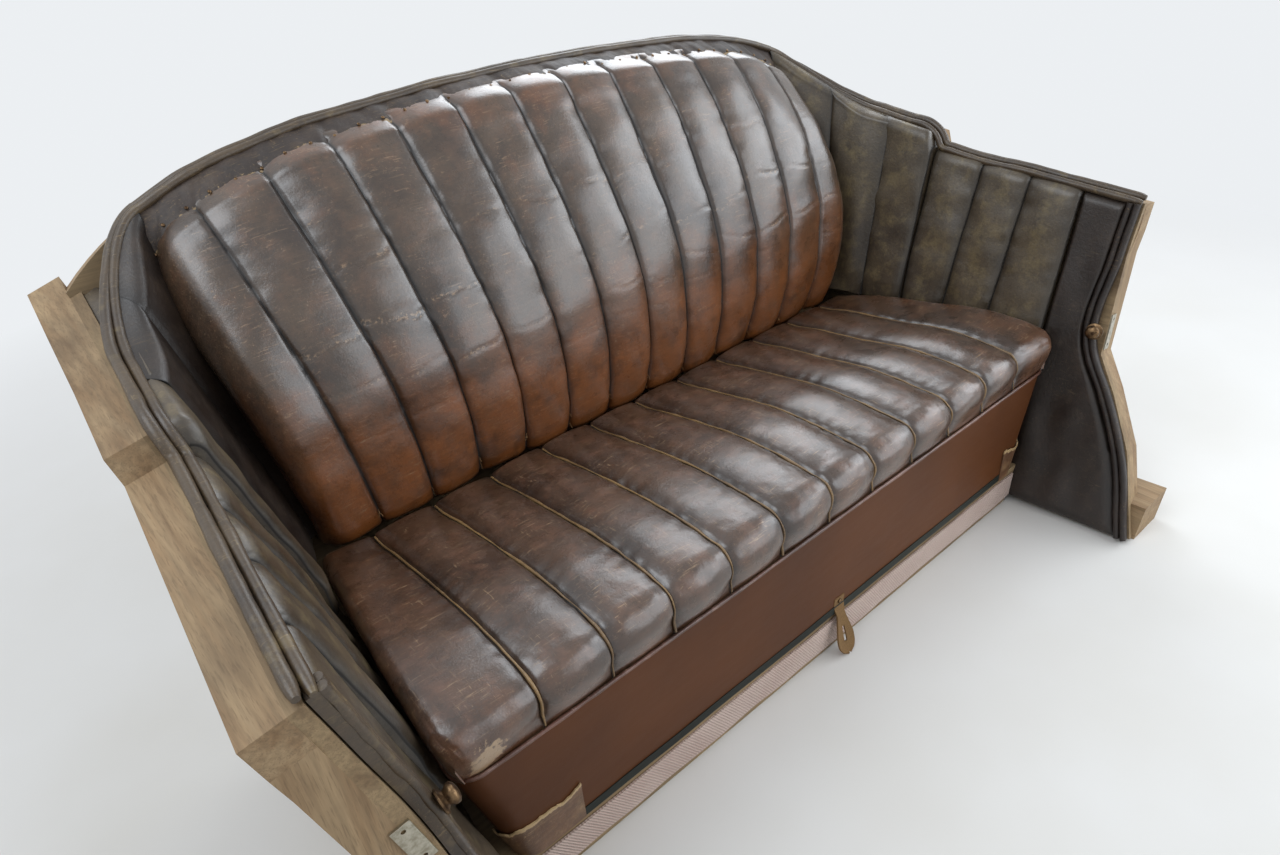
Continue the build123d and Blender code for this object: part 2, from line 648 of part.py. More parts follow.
with BuildPart() as cushion_facing:
    add(facing_outside)
    add(box_outside, mode=Mode.SUBTRACT)
    split(bisect_by=seam_plane(WELT_R), keep=Keep.BOTTOM)
    split(bisect_by=Plane(origin=(0, FACE_Y + RETURN, 0), z_dir=(0, 1, 0)), keep=Keep.BOTTOM)
save(cushion_facing, "cushion_facing")

with BuildPart() as cushion_welt:
    proud = WELT_R + 2 * SLIP
    with BuildLine(seam_plane(0)) as path:
        front_x = lining_x(-proud, FRONT_TOP, proud - CUSHION_GAP)
        end_drop = RETURN * (FRONT_TOP - REAR_TOP) / CUSHION_DEPTH
        end_x = lining_x(RETURN, FRONT_TOP - end_drop, proud - CUSHION_GAP)
        FilletPolyline((-end_x, RETURN), (-front_x, -proud), (front_x, -proud), (end_x, RETURN),
                       radius=BOX_CORNER + proud)
    with BuildSketch(Plane(origin=path.line @ 0, z_dir=path.line % 0)):
        Circle(WELT_R)
    sweep(path=path.line)
save(cushion_welt, "cushion_welt")

with BuildPart() as cushion_pad:
    loft([cushion_plan(*section) for section in PAD_SECTIONS], ruled=True)
    with BuildSketch(profile_plane(0)):
        with BuildLine():
            ThreePointArc(NOSE_TOP, CROWN, HEEL_TOP)
            ThreePointArc(HEEL_TOP, HEEL_MID, HEEL_END)
            Polyline(HEEL_END, (HEEL_END[0], 0), (NOSE_TOP[0], 0), NOSE_TOP)
        make_face()
    extrude(amount=WIDE, both=True, mode=Mode.INTERSECT)
    split(bisect_by=seam_plane(0), keep=Keep.TOP)
save(cushion_pad, "cushion_pad")

# Small trim: pull tab, patches, door buffers and striker plates
with BuildPart() as pull_tab:
    with BuildSketch(profile_plane(TAB_AT)):
        with BuildLine():
            Polyline((-SKIN, TAB_TOP), (-SKIN, TAB_BEND), (-TAB_REACH, TAB_FOOT),
                     (-TAB_REACH - SKIN, TAB_FOOT + SKIN), (-2 * SKIN, TAB_BEND + SKIN),
                     (-2 * SKIN, TAB_TOP), close=True)
        make_face()
    extrude(amount=TAB_W / 2, both=True)
save(pull_tab, "pull_tab")

for patch in PATCHES:
    with BuildPart() as corner_patch:
        add(patch_outside)
        add(facing_outside, mode=Mode.SUBTRACT)
        reach = lining_x(0, DECK_TOP, 0)
        with BuildSketch(Plane.XY.offset(DECK_TOP)):
            with Locations((patch.sign * reach, FACE_Y)):
                Rectangle(2 * patch.width, 2 * BOX_CORNER)
        extrude(amount=patch.height, mode=Mode.INTERSECT)
    save(corner_patch, f"corner_patch_{patch.name}")

for side in SIDES:
    with BuildPart() as door_buffer:
        with BuildSketch(side_plane(side.sign, BEAD_CENTRE - BEAD_R - SLIP)):
            with Locations(BUFFER_AT):
                Circle(BUFFER_R)
        extrude(amount=-side.sign * BUFFER_T)
    save(door_buffer, f"door_buffer_{side.name}")

    with BuildPart() as striker_plate:
        with BuildSketch(jamb_plane(side.sign, PLATE_CENTRE, PLATE_AT)):
            Rectangle(PLATE_W, PLATE_H)
            with GridLocations(0, SCREW_PITCH, 1, 2):
                Circle(SCREW_R, mode=Mode.SUBTRACT)
        extrude(amount=PLATE_T)
    save(striker_plate, f"striker_plate_{side.name}")
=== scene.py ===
"""Looks of the rear bench of an open family car of about 1920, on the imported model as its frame.

Sizes are millimetres in the part's own frame: X across, Y back, Z up, floor at Z 0. Meshes are
turned to metres when they are made.
"""
import logging
import math
from dataclasses import dataclass
from enum import Enum
from typing import Callable

import bmesh
import bpy
import numpy as np
from mathutils import Matrix, Vector


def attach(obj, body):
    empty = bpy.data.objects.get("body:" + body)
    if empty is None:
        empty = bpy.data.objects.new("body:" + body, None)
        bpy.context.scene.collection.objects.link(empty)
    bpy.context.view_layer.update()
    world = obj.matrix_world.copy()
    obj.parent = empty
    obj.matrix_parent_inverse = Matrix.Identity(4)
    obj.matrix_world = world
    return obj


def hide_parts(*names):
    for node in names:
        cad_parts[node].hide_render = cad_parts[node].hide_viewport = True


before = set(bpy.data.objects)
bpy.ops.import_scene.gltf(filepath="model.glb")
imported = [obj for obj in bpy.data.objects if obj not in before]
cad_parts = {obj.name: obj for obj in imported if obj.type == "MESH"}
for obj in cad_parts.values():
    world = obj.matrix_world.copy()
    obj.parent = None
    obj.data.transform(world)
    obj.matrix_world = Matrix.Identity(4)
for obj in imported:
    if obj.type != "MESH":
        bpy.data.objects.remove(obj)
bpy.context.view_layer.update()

LOG = logging.getLogger("bench")
MM = 0.001
BENCH = "bench_frame"
CUSHION = "cushion"
FAR_FROM_SEAM = 40.0
RIM_FROM_SEAM = 30.0
STUFFING_FRAMES = 20
Net = np.ndarray
Knots = tuple[tuple[float, ...], ...]


# ---------------------------------------------------------------- numbers and nets
def unit(value: Net) -> Net:
    """Return a value kept between 0 and 1."""
    return np.clip(value, 0, 1)


def bell(distance: Net, width: float) -> Net:
    """Return a bump that is 1 at no distance and dies away past `width`."""
    return np.exp(-(distance / width) ** 2)


def round_off(part: Net) -> Net:
    """Return how far a quarter circle has fallen, from 0 at part 0 to 1 at part 1."""
    return 1 - np.sqrt(np.maximum(1 - part ** 2, 0))


def roll_over(part: Net, share: float) -> tuple[Net, Net]:
    """Return the angle of a quarter turn that takes a share of a way, and the part of the wall past it."""
    return unit(part / share) * math.pi / 2, unit((part - share) / (1 - share))


def net(*parts: Net | float) -> Net:
    """Return points from their coordinates, each an array or a number."""
    return np.stack(np.broadcast_arrays(*parts), -1)


def net_box(rows: int, columns: int) -> tuple[Net, Net]:
    """Return row and column parameters from 0 to 1 for a net."""
    return np.meshgrid(np.linspace(0, 1, rows), np.linspace(0, 1, columns), indexing="ij")


def smooth_line(knots: Knots | Net, at: Net) -> Net:
    """Read a smooth line through knots.

    Args:
        knots: rows of a rising parameter and one or more values.
        at: parameters to read it at.

    Returns:
        The values, one row for each parameter, or plain numbers where there is one value.
    """
    knots = np.asarray(knots, float)
    where, values = knots[:, 0], knots[:, 1:]
    slopes = np.gradient(values, where, axis=0)
    at = np.clip(np.asarray(at, float), where[0], where[-1])
    low = np.clip(np.searchsorted(where, at, side="right") - 1, 0, len(where) - 2)
    span = (where[low + 1] - where[low])[..., None]
    part = (at - where[low])[..., None] / span
    past = 1 - part
    read = ((1 + 2 * part) * past ** 2 * values[low] + part * past ** 2 * span * slopes[low]
            + part ** 2 * (3 - 2 * part) * values[low + 1] - part ** 2 * past * span * slopes[low + 1])
    return read[..., 0] if values.shape[1] == 1 else read


def run_of(points: Net) -> Net:
    """Return the length of a path up to each of its points."""
    return np.concatenate(((0,), np.cumsum(np.linalg.norm(np.diff(points, axis=0), axis=1))))


def even_path(points: Net, step: float) -> Net:
    """Resample a path smoothly at about `step` millimetres."""
    run = run_of(points)
    return smooth_line(np.column_stack((run, points)), np.linspace(0, run[-1], max(int(run[-1] / step), 8)))


def drift(points: Net, size: float, seed: int) -> Net:
    """Make an uneven field.

    Args:
        points: places to read it at.
        size: width of its bumps in millimetres.
        seed: of its chance.

    Returns:
        Values from about -1 to 1.
    """
    chance = np.random.default_rng(seed)
    total = np.zeros(points.shape[:-1])
    for _ in range(14):
        direction = chance.normal(size=3)
        direction *= chance.uniform(0.6, 1.7) * math.pi / size / np.linalg.norm(direction)
        total += np.sin(points @ direction + chance.uniform(0, 2 * math.pi))
    return total / 3.2


def pleat(part: Net, depth: float, power: float) -> Net:
    """Return how far a pleat falls below its crest: `part` is 0 at one seam and 1 at the next."""
    return depth * np.abs(2 * part - 1) ** power


def crest(part: Net) -> Net:
    """Return how near the crest of its pleat a place is, from 0 to 1."""
    return 1 - np.abs(2 * part - 1)


def pleat_places(first: float, count: int, per_pleat: int) -> Net:
    """Lay out column parameters over pleats one unit wide, closer together beside the seams.

    Args:
        first: the first pleat's start.
        count: number of pleats.
        per_pleat: columns in a pleat.

    Returns:
        The rising parameters.
    """
    even = np.linspace(0, 1, per_pleat + 1)[:-1]
    spaced = 0.25 * even + 0.75 * (0.5 - 0.5 * np.cos(math.pi * even))
    return np.concatenate([first + k + spaced for k in range(count)] + [np.array((first + count,))])


def puckers(place: Net, gap: Net, seed: int, lift: float = 0.6, size: float = 15.0, reach: float = 13.0,
            stretch: float = 0.35) -> Net:
    """Return the lift of a skin gathered at its seams, which dies away over `reach` of the gap to them."""
    field = drift(place * np.array((stretch, 1.0, 1.0)), size, seed)
    return lift * field * np.exp(-gap / reach) * unit(gap / 3.0)


# ---------------------------------------------------------------- lines of the seat
@dataclass(frozen=True)
class SeatLines:
    """The part's own driving sizes that the trim is laid out on."""

    face_y: float = -244.5
    side_half: float = 536.0
    lean: float = math.radians(13.2)
    taper: float = math.radians(5.0)
    rake: float = math.radians(16.0)
    back_at: float = 415.0
    seam_front: float = 267.0
    seam_rear: float = 205.0
    cushion_depth: float = 418.0
    cushion_gap: float = 15.0

    def outward(self, sign: int) -> Net:
        """Return the direction out of the seat, square to a side."""
        return np.array((sign * math.cos(self.lean) * math.cos(self.taper),
                         math.cos(self.lean) * math.sin(self.taper), -math.sin(self.lean)))

    def side(self, sign: int, places: Net) -> Net:
        """Place points on a side.

        Args:
            sign: -1 for the left side, 1 for the right.
            places: in the last axis, distance back from the cushion's face, distance up the
                leaning side, and layer outwards from the face of the lining.

        Returns:
            Points, with the coordinates in the last axis.
        """
        along = np.array((-sign * math.sin(self.taper), math.cos(self.taper), 0.0))
        upward = sign * np.cross(self.outward(sign), along)
        origin = np.array((sign * self.side_half, self.face_y, 0.0))
        return (origin + self.outward(sign) * places[..., 2:] + along * places[..., :1]
                + upward * places[..., 1:2])

    def lining_x(self, depth: Net, height: Net, outward: Net) -> Net:
        """Return the half width to a layer of a side at a depth and a height above the floor."""
        return (self.side_half + height * math.tan(self.lean) / math.cos(self.taper)
                - depth * math.tan(self.taper) + outward / (math.cos(self.lean) * math.cos(self.taper)))

    def back_depth(self, height: Net, rearward: float) -> Net:
        """Return the depth of a layer of the raked back at a height above the floor."""
        return self.back_at + height * math.tan(self.rake) + rearward / math.cos(self.rake)

    def back_point(self, across: Net, up: Net, rearward: Net) -> Net:
        """Return points on the raked back from places across it, up it and behind the squab."""
        sine, cosine = math.sin(self.rake), math.cos(self.rake)
        return net(across, self.face_y + self.back_at + up * sine + rearward * cosine,
                   up * cosine - rearward * sine)

    def rear_limit(self, sign: int, height: Net, outward: Net, rearward: float) -> Net:
        """Return the depth at which a layer of a side meets a layer of the back, at a height up the side."""
        start = self.side(sign, net(0.0 * height, height, outward))
        return (self.face_y + self.back_depth(start[..., 2], rearward) - start[..., 1]) / math.cos(self.taper)

    def seam_height(self, depth: Net) -> Net:
        """Return the height of the cushion's welt line at a depth."""
        return self.seam_front + (self.seam_rear - self.seam_front) * depth / self.cushion_depth


LINES = SeatLines()
# lines of the trim: depth and height along a side, and part, across and up on the back
PILLAR_EDGE = ((-213.0, 12.0), (-165.0, 160.0), (-115.0, 253.0), (-77.0, 312.0), (-68.0, 480.0),
               (-70.0, 562.0))
STEP_LOW = (290.0, 600.0)
STEP_HIGH = (303.0, 629.0)
ARM_KNEE = (430.0, 650.0)
ARM_REAR = (545.0, 676.0)
ARCH = ((0.0, 0.0, 828.0), (0.2, 115.0, 825.9), (0.4, 235.0, 820.5), (0.66, 395.0, 808.0),
        (0.83, 492.0, 788.5), (1.0, 583.0, 757.0))
# the outer and inner strand of the roll over each side and the back: its height and layer, and size
SIDE_ROLLS = ((8.4, 25.5, 1.0), (1.2, 14.6, 0.88))
BACK_ROLLS = ((9.0, 16.0, 1.0), (5.5, 4.2, 0.88))


def pillar_line(height: Net) -> Net:
    """Return the depth of the door pillar's edge at a height up the side."""
    return smooth_line([(up, back) for back, up in PILLAR_EDGE], height)


def top_height(depth: Net) -> Net:
    """Return the height of a side's top line ahead of the step."""
    low = PILLAR_EDGE[-1]
    return low[1] + (STEP_LOW[1] - low[1]) / (STEP_LOW[0] - low[0]) * (depth - low[0])


def back_arch(at: Net, lift: float) -> tuple[Net, Net]:
    """Return across and up for places from -1 to 1 along the back's top line."""
    read = smooth_line(ARCH, np.abs(at))
    return np.sign(at) * read[..., 0], read[..., 1] + lift


def rear_top(depth: Net) -> Net:
    """Return the height of a side's top line behind the step."""
    return np.interp(depth, *zip(STEP_LOW, STEP_HIGH, ARM_KNEE, ARM_REAR, (760.0, 720.0)))


# ---------------------------------------------------------------- shapes from nets of points
def net_normals(points: Net) -> Net:
    """Return the unit normals of a net of points."""
    normal = np.cross(np.gradient(points, axis=1), np.gradient(points, axis=0))
    return normal / np.maximum(np.linalg.norm(normal, axis=-1, keepdims=True), 1e-9)


def skin_normals(points: Net, toward: tuple[float, float, float]) -> Net:
    """Find the unit normals of a net.

    Args:
        points: the net.
        toward: a direction on the side that the normals stand on, at the net's middle.

    Returns:
        The normals.
    """
    normals = net_normals(points)
    middle = normals[len(normals) // 2, normals.shape[1] // 2]
    return normals if middle @ toward > 0 else -normals


def link_object(name: str, data: bpy.types.ID) -> bpy.types.Object:
    """Add an object to the scene.

    Args:
        name: its name.
        data: its mesh, camera or light.

    Returns:
        The object.
    """
    made = bpy.data.objects.new(name, data)
    bpy.context.scene.collection.objects.link(made)
    return made


def finish_mesh(name: str, shape: bmesh.types.BMesh, angle: float = 50.0) -> bpy.types.Object:
    """Turn a bmesh into an object.

    Args:
        name: the piece's name.
        shape: the bmesh, which is freed.
        angle: edges sharper than this many degrees stay sharp.

    Returns:
        The new object, in metres.
    """
    mesh = bpy.data.meshes.new(name)
    shape.to_mesh(mesh)
    shape.free()
    mesh.set_sharp_from_angle(angle=math.radians(angle))
    return link_object(name, mesh)


def smoothed(shape: bmesh.types.BMesh) -> bmesh.types.BMesh:
    """Shade every face smoothly.

    Args:
        shape: the bmesh.

    Returns:
        The same bmesh.
    """
    for face in shape.faces:
        face.smooth = True
    return shape


def new_verts(grown: dict[str, list]) -> list[bmesh.types.BMVert]:
    """Return the vertices that an extrusion made."""
    return [item for item in grown["geom"] if isinstance(item, bmesh.types.BMVert)]


def laid_grid(points: Net, marks: dict[str, Net | float]) -> bmesh.types.BMesh:
    """Lay a grid on a net of points.

    Args:
        points: rows by columns by 3, in millimetres.
        marks: named values at each point, which the materials read.

    Returns:
        The grid, in metres. Its vertices come row by row.
    """
    rows, columns = points.shape[:2]
    shape = bmesh.new()
    bmesh.ops.create_grid(shape, x_segments=columns - 1, y_segments=rows - 1, size=1)
    for vert, place in zip(shape.verts, points.reshape(-1, 3) * MM):
        vert.co = place
    for mark, value in marks.items():
        layer = shape.verts.layers.float.new(mark)
        for vert, level in zip(shape.verts, np.broadcast_to(value, (rows, columns)).ravel()):
            vert[layer] = level
    return shape


def grid_object(name: str, points: Net, marks: dict[str, Net | float],
                back: Callable[[Net], Net]) -> bpy.types.Object:
    """Make a padded skin, closed behind by a plain back.

    Args:
        name: the piece's name.
        points: rows by columns by 3, in millimetres.
        marks: named values at each point, the distance to the seam among them.
        back: moves the points of the skin's rim to the back.

    Returns:
        The new object, in metres.
    """
    shape = smoothed(laid_grid(points, marks))
    grown = bmesh.ops.extrude_edge_only(shape, edges=[edge for edge in shape.edges if edge.is_boundary])
    outer = new_verts(grown)
    seam = shape.verts.layers.float["seam"]
    for vert, place in zip(outer, back(np.array([vert.co for vert in outer]) / MM)):
        vert.co = place * MM
        vert[seam] = RIM_FROM_SEAM
    rim = [item for item in grown["geom"] if isinstance(item, bmesh.types.BMEdge) and item.is_boundary]
    bmesh.ops.contextual_create(shape, geom=rim)
    bmesh.ops.recalc_face_normals(shape, faces=shape.faces)
    return finish_mesh(name, shape)


def lined_object(name: str, points: Net, rear: Net, marks: dict[str, Net | float]) -> bpy.types.Object:
    """Make a closed piece between two nets of points.

    Args:
        name: the piece's name.
        points: the shown side, rows by columns by 3, in millimetres.
        rear: the hidden side, of the same size.
        marks: named values at each point, which the materials read.

    Returns:
        The new object, in metres.
    """
    shape = laid_grid(points, marks)
    number = shape.verts.layers.int.new("net_number")
    for order, vert in enumerate(shape.verts):
        vert[number] = order
    hidden = rear.reshape(-1, 3) * MM
    for vert in new_verts(bmesh.ops.extrude_face_region(shape, geom=shape.faces[:])):
        vert.co = hidden[vert[number]]
    shape.verts.layers.int.remove(number)
    bmesh.ops.recalc_face_normals(shape, faces=shape.faces)
    return finish_mesh(name, smoothed(shape))


def sheet_object(name: str, points: Net, marks: dict[str, Net | float], thickness: float,
                 behind: tuple[float, float, float]) -> bpy.types.Object:
    """Make a sheet of even thickness.

    Args:
        name: the piece's name.
        points: the shown side, rows by columns by 3, in millimetres.
        marks: named values at each point, which the materials read.
        thickness: of the sheet.
        behind: a point that its hidden side looks towards.

    Returns:
        The new object, in metres.
    """
    normals = net_normals(points)
    facing = np.sign(((points - np.array(behind)) * normals).sum())
    return lined_object(name, points, points - normals * facing * thickness, marks)


def tube(name: str, paths: list[Net], radius: float, facets: int) -> bpy.types.Object:
    """Make round strands along paths.

    Args:
        name: the piece's name.
        paths: rows of points for each strand, in millimetres, with a share of the radius in a
            fourth column where it changes.
        radius: the strands' radius.
        facets: half the number of facets round a strand, less two.

    Returns:
        The strands as one object, marked as far from a seam.
    """
    curve = bpy.data.curves.new(name, "CURVE")
    curve.dimensions = "3D"
    curve.bevel_depth = radius * MM
    curve.bevel_resolution = facets
    curve.use_fill_caps = True
    for path in paths:
        spline = curve.splines.new("POLY")
        spline.points.add(len(path) - 1)
        for point, place in zip(spline.points, path):
            point.co = (*(place[:3] * MM), 1.0)
            point.radius = place[3] if len(place) > 3 else 1.0
    holder = bpy.data.objects.new(name, curve)
    mesh = bpy.data.meshes.new_from_object(holder)
    mesh.name = name
    bpy.data.objects.remove(holder)
    bpy.data.curves.remove(curve)
    mesh.shade_smooth()
    seam = mesh.attributes.new("seam", "FLOAT", "POINT")
    seam.data.foreach_set("value", np.full(len(mesh.vertices), FAR_FROM_SEAM))
    return link_object(name, mesh)


def stuffed(points: Net, held: Net, limit: float) -> Net:
    """Blow up a quilted skin with a cloth simulation between the lines that are sewn down.

    Args:
        points: the skin's net, with odd numbers of rows and columns.
        held: where the skin is sewn or nailed, true or false for each point.
        limit: how far a point may move, in millimetres.

    Returns: The net after the simulation.
    """
    coarse = points[::2, ::2]
    skin = finish_mesh("skin_in_work", laid_grid(coarse, {}))
    group = skin.vertex_groups.new(name="sewn")
    group.add(np.flatnonzero(held[::2, ::2]).tolist(), 1.0, "REPLACE")
    cloth = skin.modifiers.new("stuffing", "CLOTH")
    cloth.settings.use_pressure = True
    cloth.settings.uniform_pressure_force = 4.0
    cloth.settings.vertex_group_mass = "sewn"
    cloth.settings.effector_weights.gravity = 0
    cloth.settings.quality = 4
    cloth.point_cache.frame_start = 1
    cloth.point_cache.frame_end = STUFFING_FRAMES
    for step in range(1, STUFFING_FRAMES + 1):
        bpy.context.scene.frame_set(step)
    blown = skin.evaluated_get(bpy.context.evaluated_depsgraph_get())
    start, end = (np.array([vertex.co for vertex in mesh.vertices]).reshape(coarse.shape) / MM
                  for mesh in (skin.data, blown.data))
    bpy.data.objects.remove(skin)
    bpy.context.scene.frame_set(1)
    move = end - start
    move *= np.minimum(1.0, limit / np.maximum(np.linalg.norm(move, axis=-1, keepdims=True), 1e-6))
    # the simulation runs on every second row and column, and those between lie halfway
    spread = np.empty(points.shape)
    spread[::2, ::2] = move
    spread[1::2, ::2] = (move[:-1] + move[1:]) / 2
    spread[:, 1::2] = (spread[:, :-1:2] + spread[:, 2::2]) / 2
    return points + spread


# ---------------------------------------------------------------- finishes
Value = float | tuple | bpy.types.NodeSocket


def colour(code: str) -> tuple[float, float, float, float]:
    """Turn an sRGB hex value into the linear colour that a socket takes."""
    parts = (int(code[i:i + 2], 16) / 255 for i in (1, 3, 5))
    return (*((v / 12.92 if v <= 0.04045 else ((v + 0.055) / 1.055) ** 2.4) for v in parts), 1.0)


def feed(tree: bpy.types.NodeTree, node: bpy.types.Node, sockets: dict[str | int, Value] | tuple) -> None:
    """Link or set the inputs of a node.

    Args:
        tree: the tree that the node is in.
        node: the node.
        sockets: a link or a value for its inputs, by name or number, or for the first ones in order.
    """
    for key, value in sockets.items() if isinstance(sockets, dict) else enumerate(sockets):
        if isinstance(value, bpy.types.NodeSocket):
            tree.links.new(value, node.inputs[key])
        else:
            node.inputs[key].default_value = value


def add(tree: bpy.types.NodeTree, kind: str, sockets: dict[str | int, Value] | tuple = (),
        out: int | str = 0, stops: tuple = (), **settings: str) -> bpy.types.NodeSocket:
    """Add a node with its settings and links.

    Args:
        tree: the tree to add it to.
        kind: the node's type, without the ShaderNode that each begins with.
        sockets: what feeds its inputs, as in feed().
        out: the output to return.
        stops: places and hex colours of a colour ramp.
        settings: the node's own properties.

    Returns:
        The output socket.
    """
    made = tree.nodes.new("ShaderNode" + kind)
    for name, value in settings.items():
        setattr(made, name, value)
    if stops:
        for stop, (place, code) in zip(made.color_ramp.elements, stops):
            stop.position = place
            stop.color = colour(code)
    feed(tree, made, sockets)
    return made.outputs[out]


def per_mm(size: float) -> float:
    """Return the texture scale that gives a pattern of `size` millimetres on Object coordinates."""
    return 1000.0 / size


@dataclass(frozen=True)
class Finish:
    """A material, named for the real one."""

    name: str

    def make(self) -> bpy.types.Material:
        """Make the material.

        Returns:
            The new material.
        """
        made = bpy.data.materials.new(self.name)
        made.use_nodes = True
        tree = made.node_tree
        place = add(tree, "TexCoord", out="Object")
        feed(tree, tree.nodes["Principled BSDF"], self.surface(tree, place))
        return made

    def surface(self, tree: bpy.types.NodeTree, place: bpy.types.NodeSocket) -> dict[str, Value]:
        """Return what feeds the inputs of the surface shader, from Object coordinates."""
        raise NotImplementedError


@dataclass(frozen=True)
class WornHide(Finish):
    """Old upholstery hide: pigmented cow leather, waxed, rubbed through on its ridges and creased across."""

    deep: str
    body: str
    glow: str
    rubbed: str
    bare: str
    line: str
    gloss: float = 0.34
    glow_share: float = 0.0
    rub_share: float = 0.5
    scratch_share: float = 0.35
    crack_share: float = 0.0
    polish: float = 0.3

    # name, size in millimetres, detail, turn and stretch
    NOISES = (
        # dye clouds, as old pigment fades, and smudges where hands and dirt have sat
        ("clouds", 110, 5.0, 0.0, None), ("patchy", 48, 6.0, 0.0, None), ("smudge", 64, 7.0, 0.0, None),
        ("rubbing", 26, 7.0, 0.0, None), ("fine", 4.5, 6.0, 0.0, None), ("ragged", 9, 6.0, 0.0, None),
        ("crinkle", 9, 4.0, 0.0, None),
        # hair scratches, three directions, a millimetre wide and some centimetres long
        ("hair_1", 2.6, 2.0, 0.3, (0.05, 1.0, 1.0)), ("hair_2", 2.6, 2.0, -0.5, (1.0, 0.06, 1.0)),
        ("hair_3", 2.6, 2.0, 0.9, (0.08, 1.0, 0.6)),
        # brushing and wiping have left fine streaks along the seat
        ("brushed", 3.2, 3.0, 0.12, (0.07, 1.0, 1.0)))

    def surface(self, tree: bpy.types.NodeTree, place: bpy.types.NodeSocket) -> dict[str, Value]:
        """Lay out the nodes. They read the marks crest, seam, low, fold and torn where a piece has them.

        Args:
            tree: the material's node tree.
            place: Object coordinates.

        Returns:
            What feeds the inputs of the surface shader.
        """
        mark = {name: add(tree, "Attribute", out="Fac", attribute_name=name)
                for name in ("crest", "seam", "low", "fold", "torn")}
        noise = {}
        for name, size, detail, turn, stretch in self.NOISES:
            drawn = place
            if stretch:
                drawn = add(tree, "Mapping", {"Vector": place, "Scale": stretch,
                                              "Rotation": (turn, turn, 1.7 * turn)})
            noise[name] = add(tree, "TexNoise", {"Vector": drawn, "Scale": per_mm(size), "Detail": detail,
                                                 "Roughness": 0.62})
        fold, seam, fine, patchy = mark["fold"], mark["seam"], noise["fine"], noise["patchy"]
        uneven = add(tree, "Math", (patchy, 1.3, -0.65), operation="MULTIPLY_ADD")
        # the low mark, painted shade on the squab, plus random patches
        warm_wear_and_shade = add(tree, "Math", (mark["low"], uneven), operation="ADD")
        ridge = add(tree, "Math", (mark["crest"], 0.12, noise["rubbing"]), operation="MULTIPLY_ADD")
        ragged = add(tree, "Math", (noise["ragged"], 1.1, -0.55), operation="MULTIPLY_ADD")
        tear = add(tree, "Math", (mark["torn"], ragged), operation="ADD")
        ramp = {name: add(tree, "MapRange", row) for name, row in {
            "warm_wear_and_shade": (warm_wear_and_shade, 0.08, 0.95, 0.0, self.glow_share),
            "smudge": (noise["smudge"], 0.5, 0.68, 0.0, 0.6),
            "rubbing": (ridge, 0.56, 0.8, 0.0, self.rub_share),
            "worn": (patchy, 0.42, 0.58, 0.0, 1.0),
            "hair_1": (noise["hair_1"], 0.625, 0.72, 0.0, self.scratch_share),
            "hair_2": (noise["hair_2"], 0.625, 0.72, 0.0, self.scratch_share),
            "hair_3": (noise["hair_3"], 0.625, 0.72, 0.0, self.scratch_share),
            "mottled": (fine, 0.3, 0.7, 0.86, 1.12),
            "brushed": (noise["brushed"], 0.3, 0.7, 0.86, 1.14),
            "crease": (fold, 0.35, 0.9, 0.0, 0.75),
            "beside_fold": (fold, 0.06, 0.35, 0.0, 0.5),
            "flakes": (fine, 0.5, 0.58, 0.0, 1.0),
            # grime and painted shade: the hide darkens over 22 mm beside the seams, on the sides of each pleat;
            # a near-black line lies in the seam itself
            "grime": (seam, 1.0, 22.0, 0.6, 0.0),
            "seam_dark_line": (seam, 0.5, 1.9, 0.96, 0.0),
            "tear": (tear, 0.52, 0.6, 0.0, 1.0),
            "gloss": (patchy, 0.3, 0.7, self.gloss - 0.07, self.gloss + 0.13)}.items()}
        # a warmer red-brown ground in random patches and where a piece sets its low mark, which on the squab
        # is painted shade; then the smudges over it, and the rubbing on the crests
        coats = [(ramp["warm_wear_and_shade"], self.glow), (ramp["smudge"], self.deep), (ramp["rubbing"], self.rubbed)]
        coats += [(add(tree, "Math", (ramp[hair], ramp["worn"]), operation="MULTIPLY"), self.bare)
                  for hair in ("hair_1", "hair_2", "hair_3")]
        hide = add(tree, "ValToRGB", (noise["clouds"],), stops=((0.28, self.deep), (0.6, self.body)))
        for share, code in coats:
            hide = add(tree, "Mix", {0: share, 6: hide, 7: colour(code)}, 2, data_type="RGBA")
        shade = add(tree, "Math", (ramp["mottled"], ramp["brushed"]), operation="MULTIPLY")
        hide = add(tree, "HueSaturation", {"Value": shade, "Color": hide})
        relief, coats = fine, []
        if self.crack_share:
            # fine crazing, 9 mm plates whose edges are dark, only where the hide is dry
            wander = add(tree, "TexNoise", {"Vector": place, "Scale": per_mm(16)}, "Color")
            bent = add(tree, "Mix", {0: 0.01, 4: place, 5: wander}, 1, data_type="VECTOR",
                       factor_mode="UNIFORM")
            plates = add(tree, "TexVoronoi", {"Vector": bent, "Scale": per_mm(9)},
                         feature="DISTANCE_TO_EDGE")
            dry = add(tree, "TexNoise", {"Vector": place, "Scale": per_mm(70), "Detail": 3.0,
                                         "Roughness": 0.62})
            cracks = add(tree, "Math", (add(tree, "MapRange", (plates, 0.0, 0.07, self.crack_share, 0.0)),
                                        add(tree, "MapRange", (dry, 0.52, 0.66))), operation="MULTIPLY")
            relief = add(tree, "Math", (fine, cracks), operation="SUBTRACT")
            coats = [(cracks, self.line)]
        # creases across the pleats with flaked edges, a broad darkening beside the seams that is grime and
        # painted shade on the sides of each pleat, a near-black line in the seams, and the tan flesh side where
        # the hide is torn
        flaked = add(tree, "Math", (ramp["beside_fold"], ramp["flakes"]), operation="MULTIPLY")
        coats += [(ramp["crease"], self.line), (flaked, self.bare), (ramp["grime"], self.line),
                  (ramp["seam_dark_line"], self.line), (ramp["tear"], self.bare)]
        for share, code in coats:
            hide = add(tree, "Mix", {0: share, 6: hide, 7: colour(code)}, 2, data_type="RGBA")
